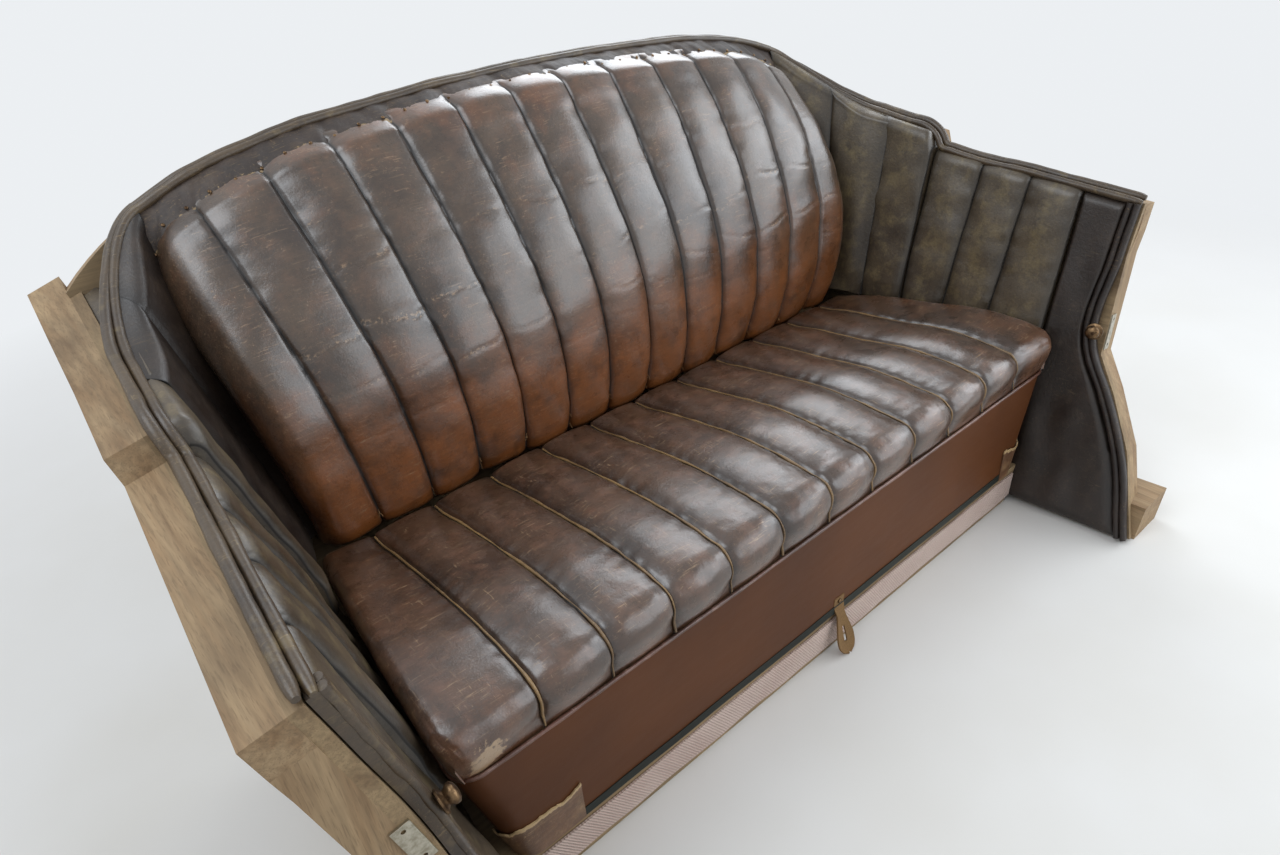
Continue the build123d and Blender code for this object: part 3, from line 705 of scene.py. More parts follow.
        # grain of 2 mm pores, a little coarser than life so that it shows, over soft crinkles of 9 mm
        pores = add(tree, "TexVoronoi", {"Vector": place, "Scale": per_mm(2.2)})
        skin = add(tree, "Bump", {"Height": pores, "Strength": 0.14, "Distance": 0.0005})
        skin = add(tree, "Bump", {"Height": noise["crinkle"], "Strength": 0.24, "Distance": 0.0014,
                                  "Normal": skin})
        skin = add(tree, "Bump", {"Height": relief, "Strength": 0.34, "Distance": 0.0008, "Normal": skin})
        dull = add(tree, "Math", (ramp["gloss"], ramp["seam_dark_line"]), operation="MAXIMUM")
        return {"Base Color": hide, "Roughness": dull, "Coat Weight": self.polish, "Coat Roughness": 0.3,
                "Normal": skin}


@dataclass(frozen=True)
class Leathercloth(Finish):
    """Coated cotton cloth, embossed with a fine grain and painted: even colour, satin shine, scuffs."""

    body: str
    shade: str
    scuff: str
    gloss: float = 0.38

    def surface(self, tree: bpy.types.NodeTree, place: bpy.types.NodeSocket) -> dict[str, Value]:
        """Lay out the nodes.

        Args:
            tree: the material's node tree.
            place: Object coordinates.

        Returns:
            What feeds the inputs of the surface shader.
        """
        clouds = add(tree, "TexNoise", {"Vector": place, "Scale": per_mm(220), "Detail": 5.0})
        base = add(tree, "ValToRGB", (clouds,), stops=((0.35, self.shade), (0.65, self.body)))
        # scuffs lie along the seat, so the noise is drawn out along X
        drawn = add(tree, "Mapping", {"Vector": place, "Scale": (0.12, 1.0, 1.0)})
        scuffs = add(tree, "TexNoise", {"Vector": drawn, "Scale": per_mm(9), "Detail": 8.0, "Roughness": 0.7})
        mask = add(tree, "MapRange", (scuffs, 0.62, 0.78, 0.0, 0.4))
        pores = add(tree, "TexVoronoi", {"Vector": place, "Scale": per_mm(1.6)})
        grain = add(tree, "Bump", {"Height": pores, "Strength": 0.12, "Distance": 0.0004})
        waves = add(tree, "TexNoise", {"Vector": place, "Scale": per_mm(45), "Detail": 2.0})
        # the painted cloth is dusty, so it shines less than clean hide
        return {"Base Color": add(tree, "Mix", {0: mask, 6: base, 7: colour(self.scuff)}, 2, data_type="RGBA"),
                "Roughness": add(tree, "MapRange", (scuffs, 0.0, 1.0, self.gloss - 0.05, self.gloss + 0.15)),
                "Specular IOR Level": 0.25,
                "Normal": add(tree, "Bump", {"Height": waves, "Strength": 0.25, "Distance": 0.003,
                                             "Normal": grain})}


class Grain(Enum):
    """Direction that a timber's grain runs in, as the scale of the pattern along each axis."""

    ACROSS = (0.035, 1.0, 1.0)
    BACK = (1.0, 0.035, 1.0)
    UP = (1.0, 1.0, 0.035)


@dataclass(frozen=True)
class Timber(Finish):
    """Planed timber or plywood that has aged without varnish: early and late wood, pores, grime."""

    early: str
    late: str
    run: Grain
    ring: float = 7.0

    def surface(self, tree: bpy.types.NodeTree, place: bpy.types.NodeSocket) -> dict[str, Value]:
        """Lay out the nodes.

        Args:
            tree: the material's node tree.
            place: Object coordinates.

        Returns:
            What feeds the inputs of the surface shader.
        """
        drawn = add(tree, "Mapping", {"Vector": place, "Scale": self.run.value})
        rings = add(tree, "TexNoise", {"Vector": drawn, "Scale": per_mm(self.ring * 3), "Detail": 5.0,
                                       "Distortion": 0.5})
        streaks = add(tree, "TexNoise", {"Vector": drawn, "Scale": per_mm(5), "Detail": 4.0})
        pores = add(tree, "TexNoise", {"Vector": drawn, "Scale": per_mm(1.4), "Detail": 2.0})
        grime = add(tree, "TexNoise", {"Vector": place, "Scale": per_mm(130), "Detail": 6.0})
        wood = add(tree, "ValToRGB", (rings,), stops=((0.3, self.late), (0.6, self.early)))
        shade = add(tree, "MapRange", (streaks, 0.35, 0.65, 0.82, 1.12))
        wood = add(tree, "HueSaturation", {"Value": shade, "Color": wood})
        # dark pores, then old grime in patches
        for field, low, high, share, code in ((pores, 0.55, 0.68, 0.35, "#5d4a34"),
                                              (grime, 0.45, 0.75, 0.5, "#4a3b2c")):
            amount = add(tree, "MapRange", (field, low, high, 0.0, share))
            wood = add(tree, "Mix", {0: amount, 6: wood, 7: colour(code)}, 2, data_type="RGBA")
        return {"Base Color": wood, "Roughness": 0.72,
                "Normal": add(tree, "Bump", {"Height": pores, "Strength": 0.3, "Distance": 0.0006})}


@dataclass(frozen=True)
class TwillCarpet(Finish):
    """Flat woven twill carpet: thick diagonal yarns, faded and dusty."""

    light: str
    dark: str
    yarn: float = 2.6

    def surface(self, tree: bpy.types.NodeTree, place: bpy.types.NodeSocket) -> dict[str, Value]:
        """Lay out the nodes.

        Args:
            tree: the material's node tree.
            place: Object coordinates.

        Returns:
            What feeds the inputs of the surface shader.
        """
        turned = add(tree, "Mapping", {"Vector": place, "Rotation": (0.0, math.radians(35), 0.0)})
        rows = add(tree, "TexWave", {"Vector": turned, "Scale": per_mm(self.yarn) / 6.283, "Distortion": 1.2,
                                     "Detail": 2.0, "Detail Scale": 3.0}, "Fac")
        fibre = add(tree, "TexNoise", {"Vector": place, "Scale": per_mm(1.5), "Detail": 4.0})
        stain = add(tree, "TexNoise", {"Vector": place, "Scale": per_mm(70), "Detail": 6.0})
        level = add(tree, "Math", (rows, 0.5, stain), operation="MULTIPLY_ADD")
        tuft = add(tree, "Bump", {"Height": rows, "Strength": 0.6, "Distance": 0.0015})
        return {"Base Color": add(tree, "ValToRGB", (level,), stops=((0.4, self.dark), (0.95, self.light))),
                "Roughness": 0.95, "Sheen Weight": 0.25,
                "Normal": add(tree, "Bump", {"Height": fibre, "Strength": 0.4, "Distance": 0.0008,
                                             "Normal": tuft})}


@dataclass(frozen=True)
class AgedMetal(Finish):
    """Nickel or brass from the trade: rolled or turned, dulled by fingers, with dark tarnish in patches."""

    bright: str
    tarnish: str
    rough: float = 0.3

    def surface(self, tree: bpy.types.NodeTree, place: bpy.types.NodeSocket) -> dict[str, Value]:
        """Return what feeds the surface shader, with tarnish that roughens and lifts the metal in spots."""
        spots = add(tree, "TexNoise", {"Vector": place, "Scale": per_mm(8), "Detail": 6.0, "Roughness": 0.7})
        return {"Base Color": add(tree, "ValToRGB", (spots,), stops=((0.38, self.tarnish), (0.6, self.bright))),
                "Metallic": 1.0,
                "Roughness": add(tree, "MapRange", (spots, 0.0, 1.0, self.rough + 0.2, self.rough - 0.1)),
                "Normal": add(tree, "Bump", {"Height": spots, "Strength": 0.15, "Distance": 0.0003})}


@dataclass(frozen=True)
class PlainFibre(Finish):
    """Cut edges, thread and the rough side of a strap: dull fibre with a fine fuzz."""

    light: str
    dark: str
    size: float = 3.0

    def surface(self, tree: bpy.types.NodeTree, place: bpy.types.NodeSocket) -> dict[str, Value]:
        """Return what feeds the surface shader, with a fine fuzz in colour and relief."""
        fuzz = add(tree, "TexNoise", {"Vector": place, "Scale": per_mm(self.size), "Detail": 7.0,
                                      "Roughness": 0.7})
        return {"Base Color": add(tree, "ValToRGB", (fuzz,), stops=((0.35, self.dark), (0.65, self.light))),
                "Roughness": 0.9,
                "Normal": add(tree, "Bump", {"Height": fuzz, "Strength": 0.5, "Distance": 0.0008})}


class Finishes:
    """Every material of the bench, made once."""

    def __init__(self) -> None:
        """Make the materials."""
        self.squab_hide = WornHide(
            "cow_hide_worn_squab", "#2b1b11", "#53402f", "#93562a", "#70503a", "#bb9a78", "#0f0a08",
            gloss=0.28, glow_share=0.95, rub_share=0.45, polish=0.8).make()
        self.cushion_hide = WornHide(
            "cow_hide_worn_cushion", "#291b12", "#4e3829", "#84512e", "#755240", "#a98d6d", "#120c0a",
            gloss=0.27, glow_share=0.7, scratch_share=0.5, crack_share=0.4, polish=0.9).make()
        self.side_hide = WornHide(
            "cow_hide_faded_sides", "#382f26", "#564a39", "#624d2d", "#81714f", "#a89670", "#140f0a",
            gloss=0.4, glow_share=0.5, rub_share=0.55, scratch_share=0.15).make()
        self.panel_hide = WornHide(
            "cow_hide_dark_panel", "#18110d", "#2a201a", "#36291d", "#4b3c2f", "#84704f", "#0a0706",
            gloss=0.42, glow_share=0.4, rub_share=0.3, scratch_share=0.15, polish=0.12).make()
        self.edge_hide = WornHide(
            "cow_hide_edging", "#2b2119", "#4c3d2b", "#574529", "#7f6d4a", "#9c8560", "#0c0807",
            gloss=0.44, glow_share=0.5, rub_share=0.7, polish=0.2).make()
        self.bead_hide = WornHide(
            "cow_hide_door_beads", "#160f0d", "#281e19", "#34281d", "#4a3b2e", "#806b4d", "#0a0605",
            gloss=0.5, glow_share=0.3, rub_share=0.4, polish=0.0).make()
        self.strip_hide = WornHide(
            "cow_hide_top_strip", "#1c1410", "#31251e", "#3d3022", "#554434", "#8a7454", "#0a0605",
            gloss=0.58, polish=0.0).make()
        self.seam_hide = WornHide(
            "cow_hide_seam_piping", "#59432b", "#876a43", "#8d6d44", "#9c7f57", "#ae9468", "#2a1f14",
            gloss=0.45, rub_share=0.6).make()
        self.welt_hide = WornHide(
            "cow_hide_welt", "#3a2217", "#70493a", "#8b6151", "#a98676", "#c9aca0", "#1d100c",
            rub_share=0.7).make()
        self.patch_hide = WornHide(
            "cow_hide_patch", "#4a2f1c", "#714e33", "#7d5a38", "#9b7b54", "#b89b70", "#1d120b",
            gloss=0.45, rub_share=0.7, crack_share=0.3).make()
        self.facing = Leathercloth("leathercloth_red_brown", "#593112", "#4b280f", "#75472f", 0.46).make()
        self.lining = Leathercloth("leathercloth_dark", "#33271f", "#241b16", "#5c4c3e", 0.45).make()
        # the dark strip at the facing's foot: partly a binding, partly painted shadow of the gap below the
        # facing
        self.binding_and_shadow_strip = Leathercloth("leathercloth_green_black", "#20251f", "#141713", "#4d4a3c", 0.5).make()
        self.carpet = TwillCarpet("carpet_faded_twill", "#c4aea2", "#b3978b", yarn=1.9).make()
        self.nickel = AgedMetal("nickel_plate_aged", "#bdb8a9", "#9b9584").make()
        self.brass = AgedMetal("brass_browned", "#7a6248", "#3c2d22", rough=0.38).make()
        self.flesh = PlainFibre("cow_hide_flesh_side", "#b48d5e", "#7c5a38").make()
        self.strap = PlainFibre("cow_hide_strap", "#876840", "#684d2d", size=1.4).make()
        self.timber = {run: Timber(f"ash_planed_{run.name.lower()}", "#a08766", "#85694a", run).make()
                       for run in Grain}
        self.board = {run: Timber(f"birch_board_{run.name.lower()}", "#97805f", "#7a6347", run, 12.0).make()
                      for run in (Grain.ACROSS, Grain.BACK)}


def dress(piece: bpy.types.Object, material: bpy.types.Material, body: str, slot: str,
          *nodes: str) -> bpy.types.Object:
    """Give a piece its finish and its place in the part.

    Args:
        piece: the new object.
        material: its finish.
        body: the body that it rides.
        slot: its material slot; not used.
        nodes: the CAD nodes that it stands for.

    Returns:
        The piece.
    """
    piece.data.materials.clear()
    piece.data.materials.append(material)
    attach(piece, body)
    if nodes:
        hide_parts(*nodes)
    LOG.info("%s: %d faces", piece.name, len(piece.data.polygons))
    return piece


# ---------------------------------------------------------------- loose cushion
@dataclass
class CushionPad:
    """The quilted seat cushion: twelve pleats from front to back with piped seams."""

    finishes: Finishes
    pitch: float = 96.0
    seam_depth: float = 8.0
    round_front: float = 38.0
    round_end: float = 21.0
    corner_more: float = 20.0
    core_front: float = 26.0
    nose_drop: float = 34.0
    nose_tuck: float = 11.0
    end_wall: float = 46.0
    side_gap: float = 9.0

    CROWN = ((-20.0, 337.0), (26.0, 343.5), (120.0, 346.0), (240.0, 330.0), (340.0, 313.0),
             (394.0, 301.0), (420.0, 296.0))
    UP = (0.0, 0.0, 1.0)

    def columns(self) -> Net:
        """Return the column parameters: whole numbers at the seams, 6 at the ends, 7 at the end's foot."""
        wall = np.linspace(0, 1, 13)[1:]
        return np.concatenate((-6 - wall[::-1], pleat_places(-6.0, 12, 20), 6 + wall))

    def rows(self) -> Net:
        """Return the row parameters: -1 at the front welt, 0 to 1 over the top, 2 at the heel's foot."""
        return np.concatenate((np.linspace(-1, 0, 27)[:-1], np.linspace(0, 1, 119)[:-1], np.linspace(1, 2, 17)))

    def base(self, column: Net, row: Net) -> Net:
        """Place the unquilted skin.

        Args:
            column: column parameters.
            row: row parameters.

        Returns:
            The skin's points.
        """
        # profile: the top runs back from the nose, the front rolls over it and tucks in above the welt
        depth_top = self.core_front + unit(row) * (LINES.cushion_depth - 9.0 - self.core_front)
        angle, tuck = roll_over(unit(-row), 0.6)
        out_front = self.round_front * np.sin(angle) - self.nose_tuck * tuck ** 1.6
        drop_front = (self.nose_drop * (1 - np.cos(angle)) + 39.0 * tuck) / 73.0
        heel_angle, heel_wall = roll_over(unit(row - 1), 0.5)
        drop_heel = (12.0 * (1 - np.cos(heel_angle)) + 76.0 * heel_wall) / 88.0
        depth = depth_top - out_front + 10.0 * np.sin(heel_angle)
        crown = smooth_line(self.CROWN, depth_top)
        foot = LINES.seam_height(np.clip(depth, 0, LINES.cushion_depth)) + 1.0
        # across: pleats on the top, then a roll over the end and its wall
        size = np.abs(column)
        end_angle, end_wall = roll_over(unit((size - 5.62) / 1.38), 0.55)
        drop_end = ((self.round_end * (1 - np.cos(end_angle)) + self.end_wall * end_wall)
                    / (self.round_end + self.end_wall))
        drop = 1 - (1 - drop_front - drop_heel) * (1 - drop_end)
        height = crown + (foot - crown) * drop
        # the ends round over wider toward the front corner
        roll = self.round_end + self.corner_more * np.exp(-depth_top / 70.0)
        core_half = LINES.lining_x(depth, height, -self.side_gap) - roll
        inner = np.minimum(size, 5) * self.pitch + unit((size - 5) / 0.62) * (core_half - 5 * self.pitch)
        ahead = row < 0
        part_end = np.sin(end_angle)
        part_front = unit(out_front / self.round_front) * ahead
        across = np.sign(column) * (inner + roll * part_end * np.sqrt(1 - part_front ** 2 / 2))
        depth = depth + out_front * (1 - np.sqrt(1 - part_end ** 2 / 2)) * ahead
        return net(across, LINES.face_y + depth, height)

    def build(self) -> None:
        """Make the pad and its piped seams."""
        column, row = np.meshgrid(self.columns(), self.rows())
        points = self.base(column, row)
        size = np.minimum(np.abs(column), 6.0)
        part = np.where(size >= 5, unit((size - 5) / 1.9), size - np.floor(size))
        fade = unit((row + 1) / 0.18) * unit((2 - row) / 0.5)
        valley = pleat(part, self.seam_depth, 2.5) * unit((7 - np.abs(column)) / 0.9)
        valley = valley * (1 - 0.5 * unit((row - 0.93) / 0.07))
        points = points - skin_normals(points, self.UP) * (valley * fade)[..., None]
        at_seam = (np.abs(column - np.round(column)) < 1e-6) & (np.abs(column) < 5.5)
        rim = (row < -0.999) | (row > 1.999) | (np.abs(column) > 6.999)
        points = stuffed(points, at_seam | rim, 6.0)
        normals = skin_normals(points, self.UP)
        gap = np.where(size < 5.5, np.abs(size - np.round(size)) * self.pitch, self.pitch / 2)
        place = net(column * self.pitch, points[..., 1], points[..., 2])
        dents = 1.8 * drift(place, 150.0, 3) + 0.35 * drift(place, 45.0, 4)
        notch = -2.6 * bell(gap, 3.2)
        crumple = 0.55 * drift(place * np.array((1.0, 0.4, 0.4)), 10.0, 6) + 0.3 * drift(place, 8.0, 8)
        lift = dents + puckers(place, gap, 5) + notch + crumple * bell(row + 0.25, 0.35)
        points = points + normals * (lift * unit((row + 1) / 0.1) * fade)[..., None]
        # the front left corner is torn through, the front right one is only rubbed
        left, right = (np.linalg.norm(points - np.array((across, LINES.face_y + depth, height)), axis=-1)
                       for across, depth, height in ((-552.0, 6.0, 292.0), (560.0, 2.0, 300.0)))
        torn = np.maximum(unit(1.25 - left / 36.0), 0.42 * unit(1.2 - right / 40.0))
        low = 0.35 * unit(-row) + 0.35 * unit((np.abs(column) - 4.6) / 1.4)
        marks = {"crest": crest(part), "seam": gap, "low": low, "torn": torn}
        pad = grid_object("cushion_pad_hide", points, marks, self.tuck)
        dress(pad, self.finishes.cushion_hide, CUSHION, "brown_hide", "cushion_pad")
        self.pipe(points, column, row, normals)

    @staticmethod
    def tuck(edge: Net) -> Net:
        """Move the rim of the skin inwards under the pad."""
        middle = LINES.face_y + 209
        return net(edge[:, 0] * 0.975, middle + (edge[:, 1] - middle) * 0.95, edge[:, 2])

    def pipe(self, points: Net, column: Net, row: Net, normals: Net) -> None:
        """Lay a thin piping in each seam, from the welt over the nose to the heel.

        Args:
            points: the skin.
            column: its column parameters.
            row: its row parameters.
            normals: its normals.
        """
        strands = []
        for k in range(-5, 6):
            at = int(np.argmin(np.abs(column[0] - k)))
            keep = (row[:, at] > -0.97) & (row[:, at] < 1.0)
            line = points[keep, at] + normals[keep, at] * 2.3
            line[:, 0] += 0.35 * drift(line, 22.0, 60 + k)
            strands.append(np.column_stack((line, 1 + 0.25 * drift(line, 30.0, 80 + k))))
        dress(tube("cushion_seam_piping", strands, 1.5, 2), self.finishes.seam_hide, CUSHION, "brown_hide")


@dataclass
class CushionBoxTrim:
    """Facing of the cushion's box with its welt, lower dark strip (a binding and painted shadow), corner
    patches and pull tab.
    """

    finishes: Finishes
    corner: float = 24.0
    back_run: float = 90.0
    foot: float = 75.3
    facing_out: float = 3.0
    patch_round: float = 34.0
    tab_at: float = 37.0

    INSIDE = (0.0, -44.5, 150.0)
    # part of the tab's length, distance ahead of the facing and height, then its half width
    TAB_RUN = ((0.0, 4.2, 104.0), (0.18, 4.4, 86.0), (0.3, 8.5, 74.0), (0.6, 17.0, 42.0),
               (0.85, 25.0, 16.0), (1.0, 30.5, 5.5))
    TAB_HALF = ((0.0, 11.0), (0.2, 11.0), (0.3, 9.0), (0.5, 13.0), (0.72, 18.0), (0.88, 15.0),
                (0.96, 9.0), (1.0, 2.0))

    def outline(self, grow: float, height: float, at: Net) -> Net:
        """Follow the box's front and ends.

        Args:
            grow: distance outwards from the box.
            height: above the floor, for the width between the leaning ends.
            at: millimetres along the outline from the middle of the front.

        Returns:
            Across and depth for each place.
        """
        radius = self.corner + grow
        turn = math.pi / 2 + LINES.taper
        half = float(LINES.lining_x(-grow, height, grow - LINES.cushion_gap))
        flat = half - radius * math.tan(turn / 2) * 0.92
        size = np.abs(at)
        bend = unit((size - flat) / (radius * turn)) * turn
        past = np.maximum(size - flat - radius * turn, 0)
        across = np.minimum(size, flat) + radius * np.sin(bend) + past * math.cos(turn)
        return net(np.sign(at) * across, -grow + radius * (1 - np.cos(bend)) + past * math.sin(turn))

    def reach(self, height: float) -> float:
        """Return the length of the outline from the middle to the end of the return."""
        return float(LINES.lining_x(0.0, height, -LINES.cushion_gap)) + self.back_run - 12.0

    def strip(self, low: float, high: Net | float, at: Net, grow: float, rows: int) -> tuple[Net, Net]:
        """Lay a strip round the box.

        Args:
            low: height of its foot.
            high: height of its top, at each place where it changes.
            at: millimetres along the outline.
            grow: distance outwards from the box.
            rows: number of rows.

        Returns:
            The strip's points, and the part of its height, from 0 at the foot to 1.
        """
        part = np.linspace(0, 1, rows)[:, None] + 0 * at
        height = low + (high - low) * part
        plan = np.stack([self.outline(grow, float(level.mean()), at) for level in height])
        return net(plan[..., 0], LINES.face_y + plan[..., 1], height), part

    def build(self) -> None:
        """Make all the pieces."""
        self.facing()
        self.welt()
        self.binding_and_shadow_strip()
        self.patch("corner_patch_left", -1, 95.0, 68.0)
        self.patch("corner_patch_right", 1, 56.0, 58.0)
        self.tab()

    def facing(self) -> None:
        """Stretch the facing round the box, slightly slack at its corners."""
        reach = self.reach(170.0)
        at = np.linspace(-reach, reach, 280)
        depth = self.outline(self.facing_out, 200.0, at)[:, 1]
        high = LINES.seam_height(np.clip(depth, 0, LINES.cushion_depth)) - 1.8
        points, part = self.strip(self.foot, high, at, self.facing_out, 34)
        normals = net_normals(points)
        outward = points - np.array((0.0, LINES.face_y + 200.0, 170.0))
        normals *= np.sign((normals * outward).sum(-1, keepdims=True))
        slack = 0.9 * drift(points * np.array((1, 1, 0.3)), 26.0, 12) * bell(np.abs(at) - 575.0, 45.0)
        wave = (0.5 * drift(points, 160.0, 11) + slack) * np.sin(part * math.pi) ** 0.5
        sheet = sheet_object("cushion_facing_cloth", points + normals * wave[..., None], {}, 2.4, self.INSIDE)
        dress(sheet, self.finishes.facing, CUSHION, "leathercloth", "cushion_facing")

    def welt(self) -> None:
        """Run the piped welt along the top of the facing, with the roll of its flange below."""
        end = self.reach(240.0) + 4
        plan = self.outline(4.6, 262.0, np.linspace(-end, end, 300))
        line = net(plan[:, 0], LINES.face_y + plan[:, 1],
                   LINES.seam_height(np.clip(plan[:, 1], -5, LINES.cushion_depth)))
        line[:, 2] += 0.7 * drift(line, 120.0, 21)
        cord = np.column_stack((line, 1 + 0.08 * drift(line, 16.0, 22)))
        dress(tube("cushion_welt_piping", [cord], 2.6, 4), self.finishes.welt_hide, CUSHION, "brown_hide",
              "cushion_welt")
        flange = np.column_stack((line + np.array((0, 1.0, -2.9)), 1 + 0.1 * drift(line, 9.0, 23)))
        dress(tube("cushion_welt_stitch_roll", [flange], 1.2, 2), self.finishes.welt_hide, CUSHION,
              "brown_hide")

    def binding_and_shadow_strip(self) -> None:
        """Put a narrow dark strip along the foot of the facing: partly its binding, partly painted shadow of
        the gap below the facing.
        """
        at = np.linspace(-self.reach(80.0), self.reach(80.0), 240)
        points, _ = self.strip(self.foot - 0.6, self.foot + 14.0, at, 4.3, 5)
        points[..., 2] += 0.4 * drift(points, 60.0, 31)
        dress(sheet_object("facing_binding_and_shadow_strip", points, {}, 1.2, self.INSIDE), self.finishes.binding_and_shadow_strip, CUSHION,
              "leathercloth")

    def patch(self, name: str, sign: int, width: float, tall: float) -> None:
        """Wrap a ragged leather patch round a lower corner of the facing.

        Args:
            name: the CAD node that it stands for.
            sign: -1 for the left corner, 1 for the right.
            width: of the patch on the front.
            tall: its height.
        """
        turn = float(LINES.lining_x(0.0, 110.0, -LINES.cushion_gap))
        at = np.sort(sign * np.linspace(turn - width, turn + self.patch_round, 60))
        ragged = np.cumsum(np.random.default_rng(40 + sign).normal(size=60)) * 0.9
        ragged -= np.linspace(ragged[0], ragged[-1], 60)
        high = self.foot + tall + ragged + 6 * np.sin(np.linspace(0, 7, 60) + sign)
        if sign < 0:
            high -= np.linspace(14, 0, 60)
        points, part = self.strip(self.foot - 0.2, high, at, 5.2, 26)
        points[..., 1] -= 0.8 * part ** 6
        marks = {"crest": 0.4, "seam": RIM_FROM_SEAM, "torn": unit((part - 0.86) / 0.12)}
        leather = sheet_object(name + "_hide", points, marks, 2.0, self.INSIDE)
        dress(leather, self.finishes.patch_hide, CUSHION, "brown_hide", name)

    def tab(self) -> None:
        """Make the pull tab: a strap riveted to the facing that widens to a slit teardrop."""
        part, side = net_box(64, 23)
        run, side = smooth_line(self.TAB_RUN, part), side * 2 - 1
        across = self.tab_at + side * smooth_line(self.TAB_HALF, part)
        cup = 2.0 * side ** 2 * unit((part - 0.3) / 0.3)
        shape = laid_grid(net(across, LINES.face_y - run[..., 0] - cup, run[..., 1]), {})
        middles = [(face, face.calc_center_median() / MM) for face in shape.faces]
        slit = [face for face, spot in middles if abs(spot.x - self.tab_at) < 2.6 and 22 < spot.z < 50]
        bmesh.ops.delete(shape, geom=slit, context="FACES")
        bmesh.ops.recalc_face_normals(shape, faces=shape.faces)
        bmesh.ops.solidify(shape, geom=shape.faces, thickness=2.6 * MM)
        dress(finish_mesh("pull_tab_strap", smoothed(shape), 40), self.finishes.strap, CUSHION, "brown_hide",
              "pull_tab")
        rivet = bmesh.new()
        bmesh.ops.create_uvsphere(rivet, u_segments=16, v_segments=8, radius=4.0 * MM)
        bmesh.ops.scale(rivet, vec=(1, 0.5, 1), verts=rivet.verts)
        bmesh.ops.translate(rivet, vec=Vector((self.tab_at, LINES.face_y - 5.4, 96.0)) * MM, verts=rivet.verts)
        dress(finish_mesh("pull_tab_rivet", smoothed(rivet), 60), self.finishes.brass, CUSHION, "nickel")


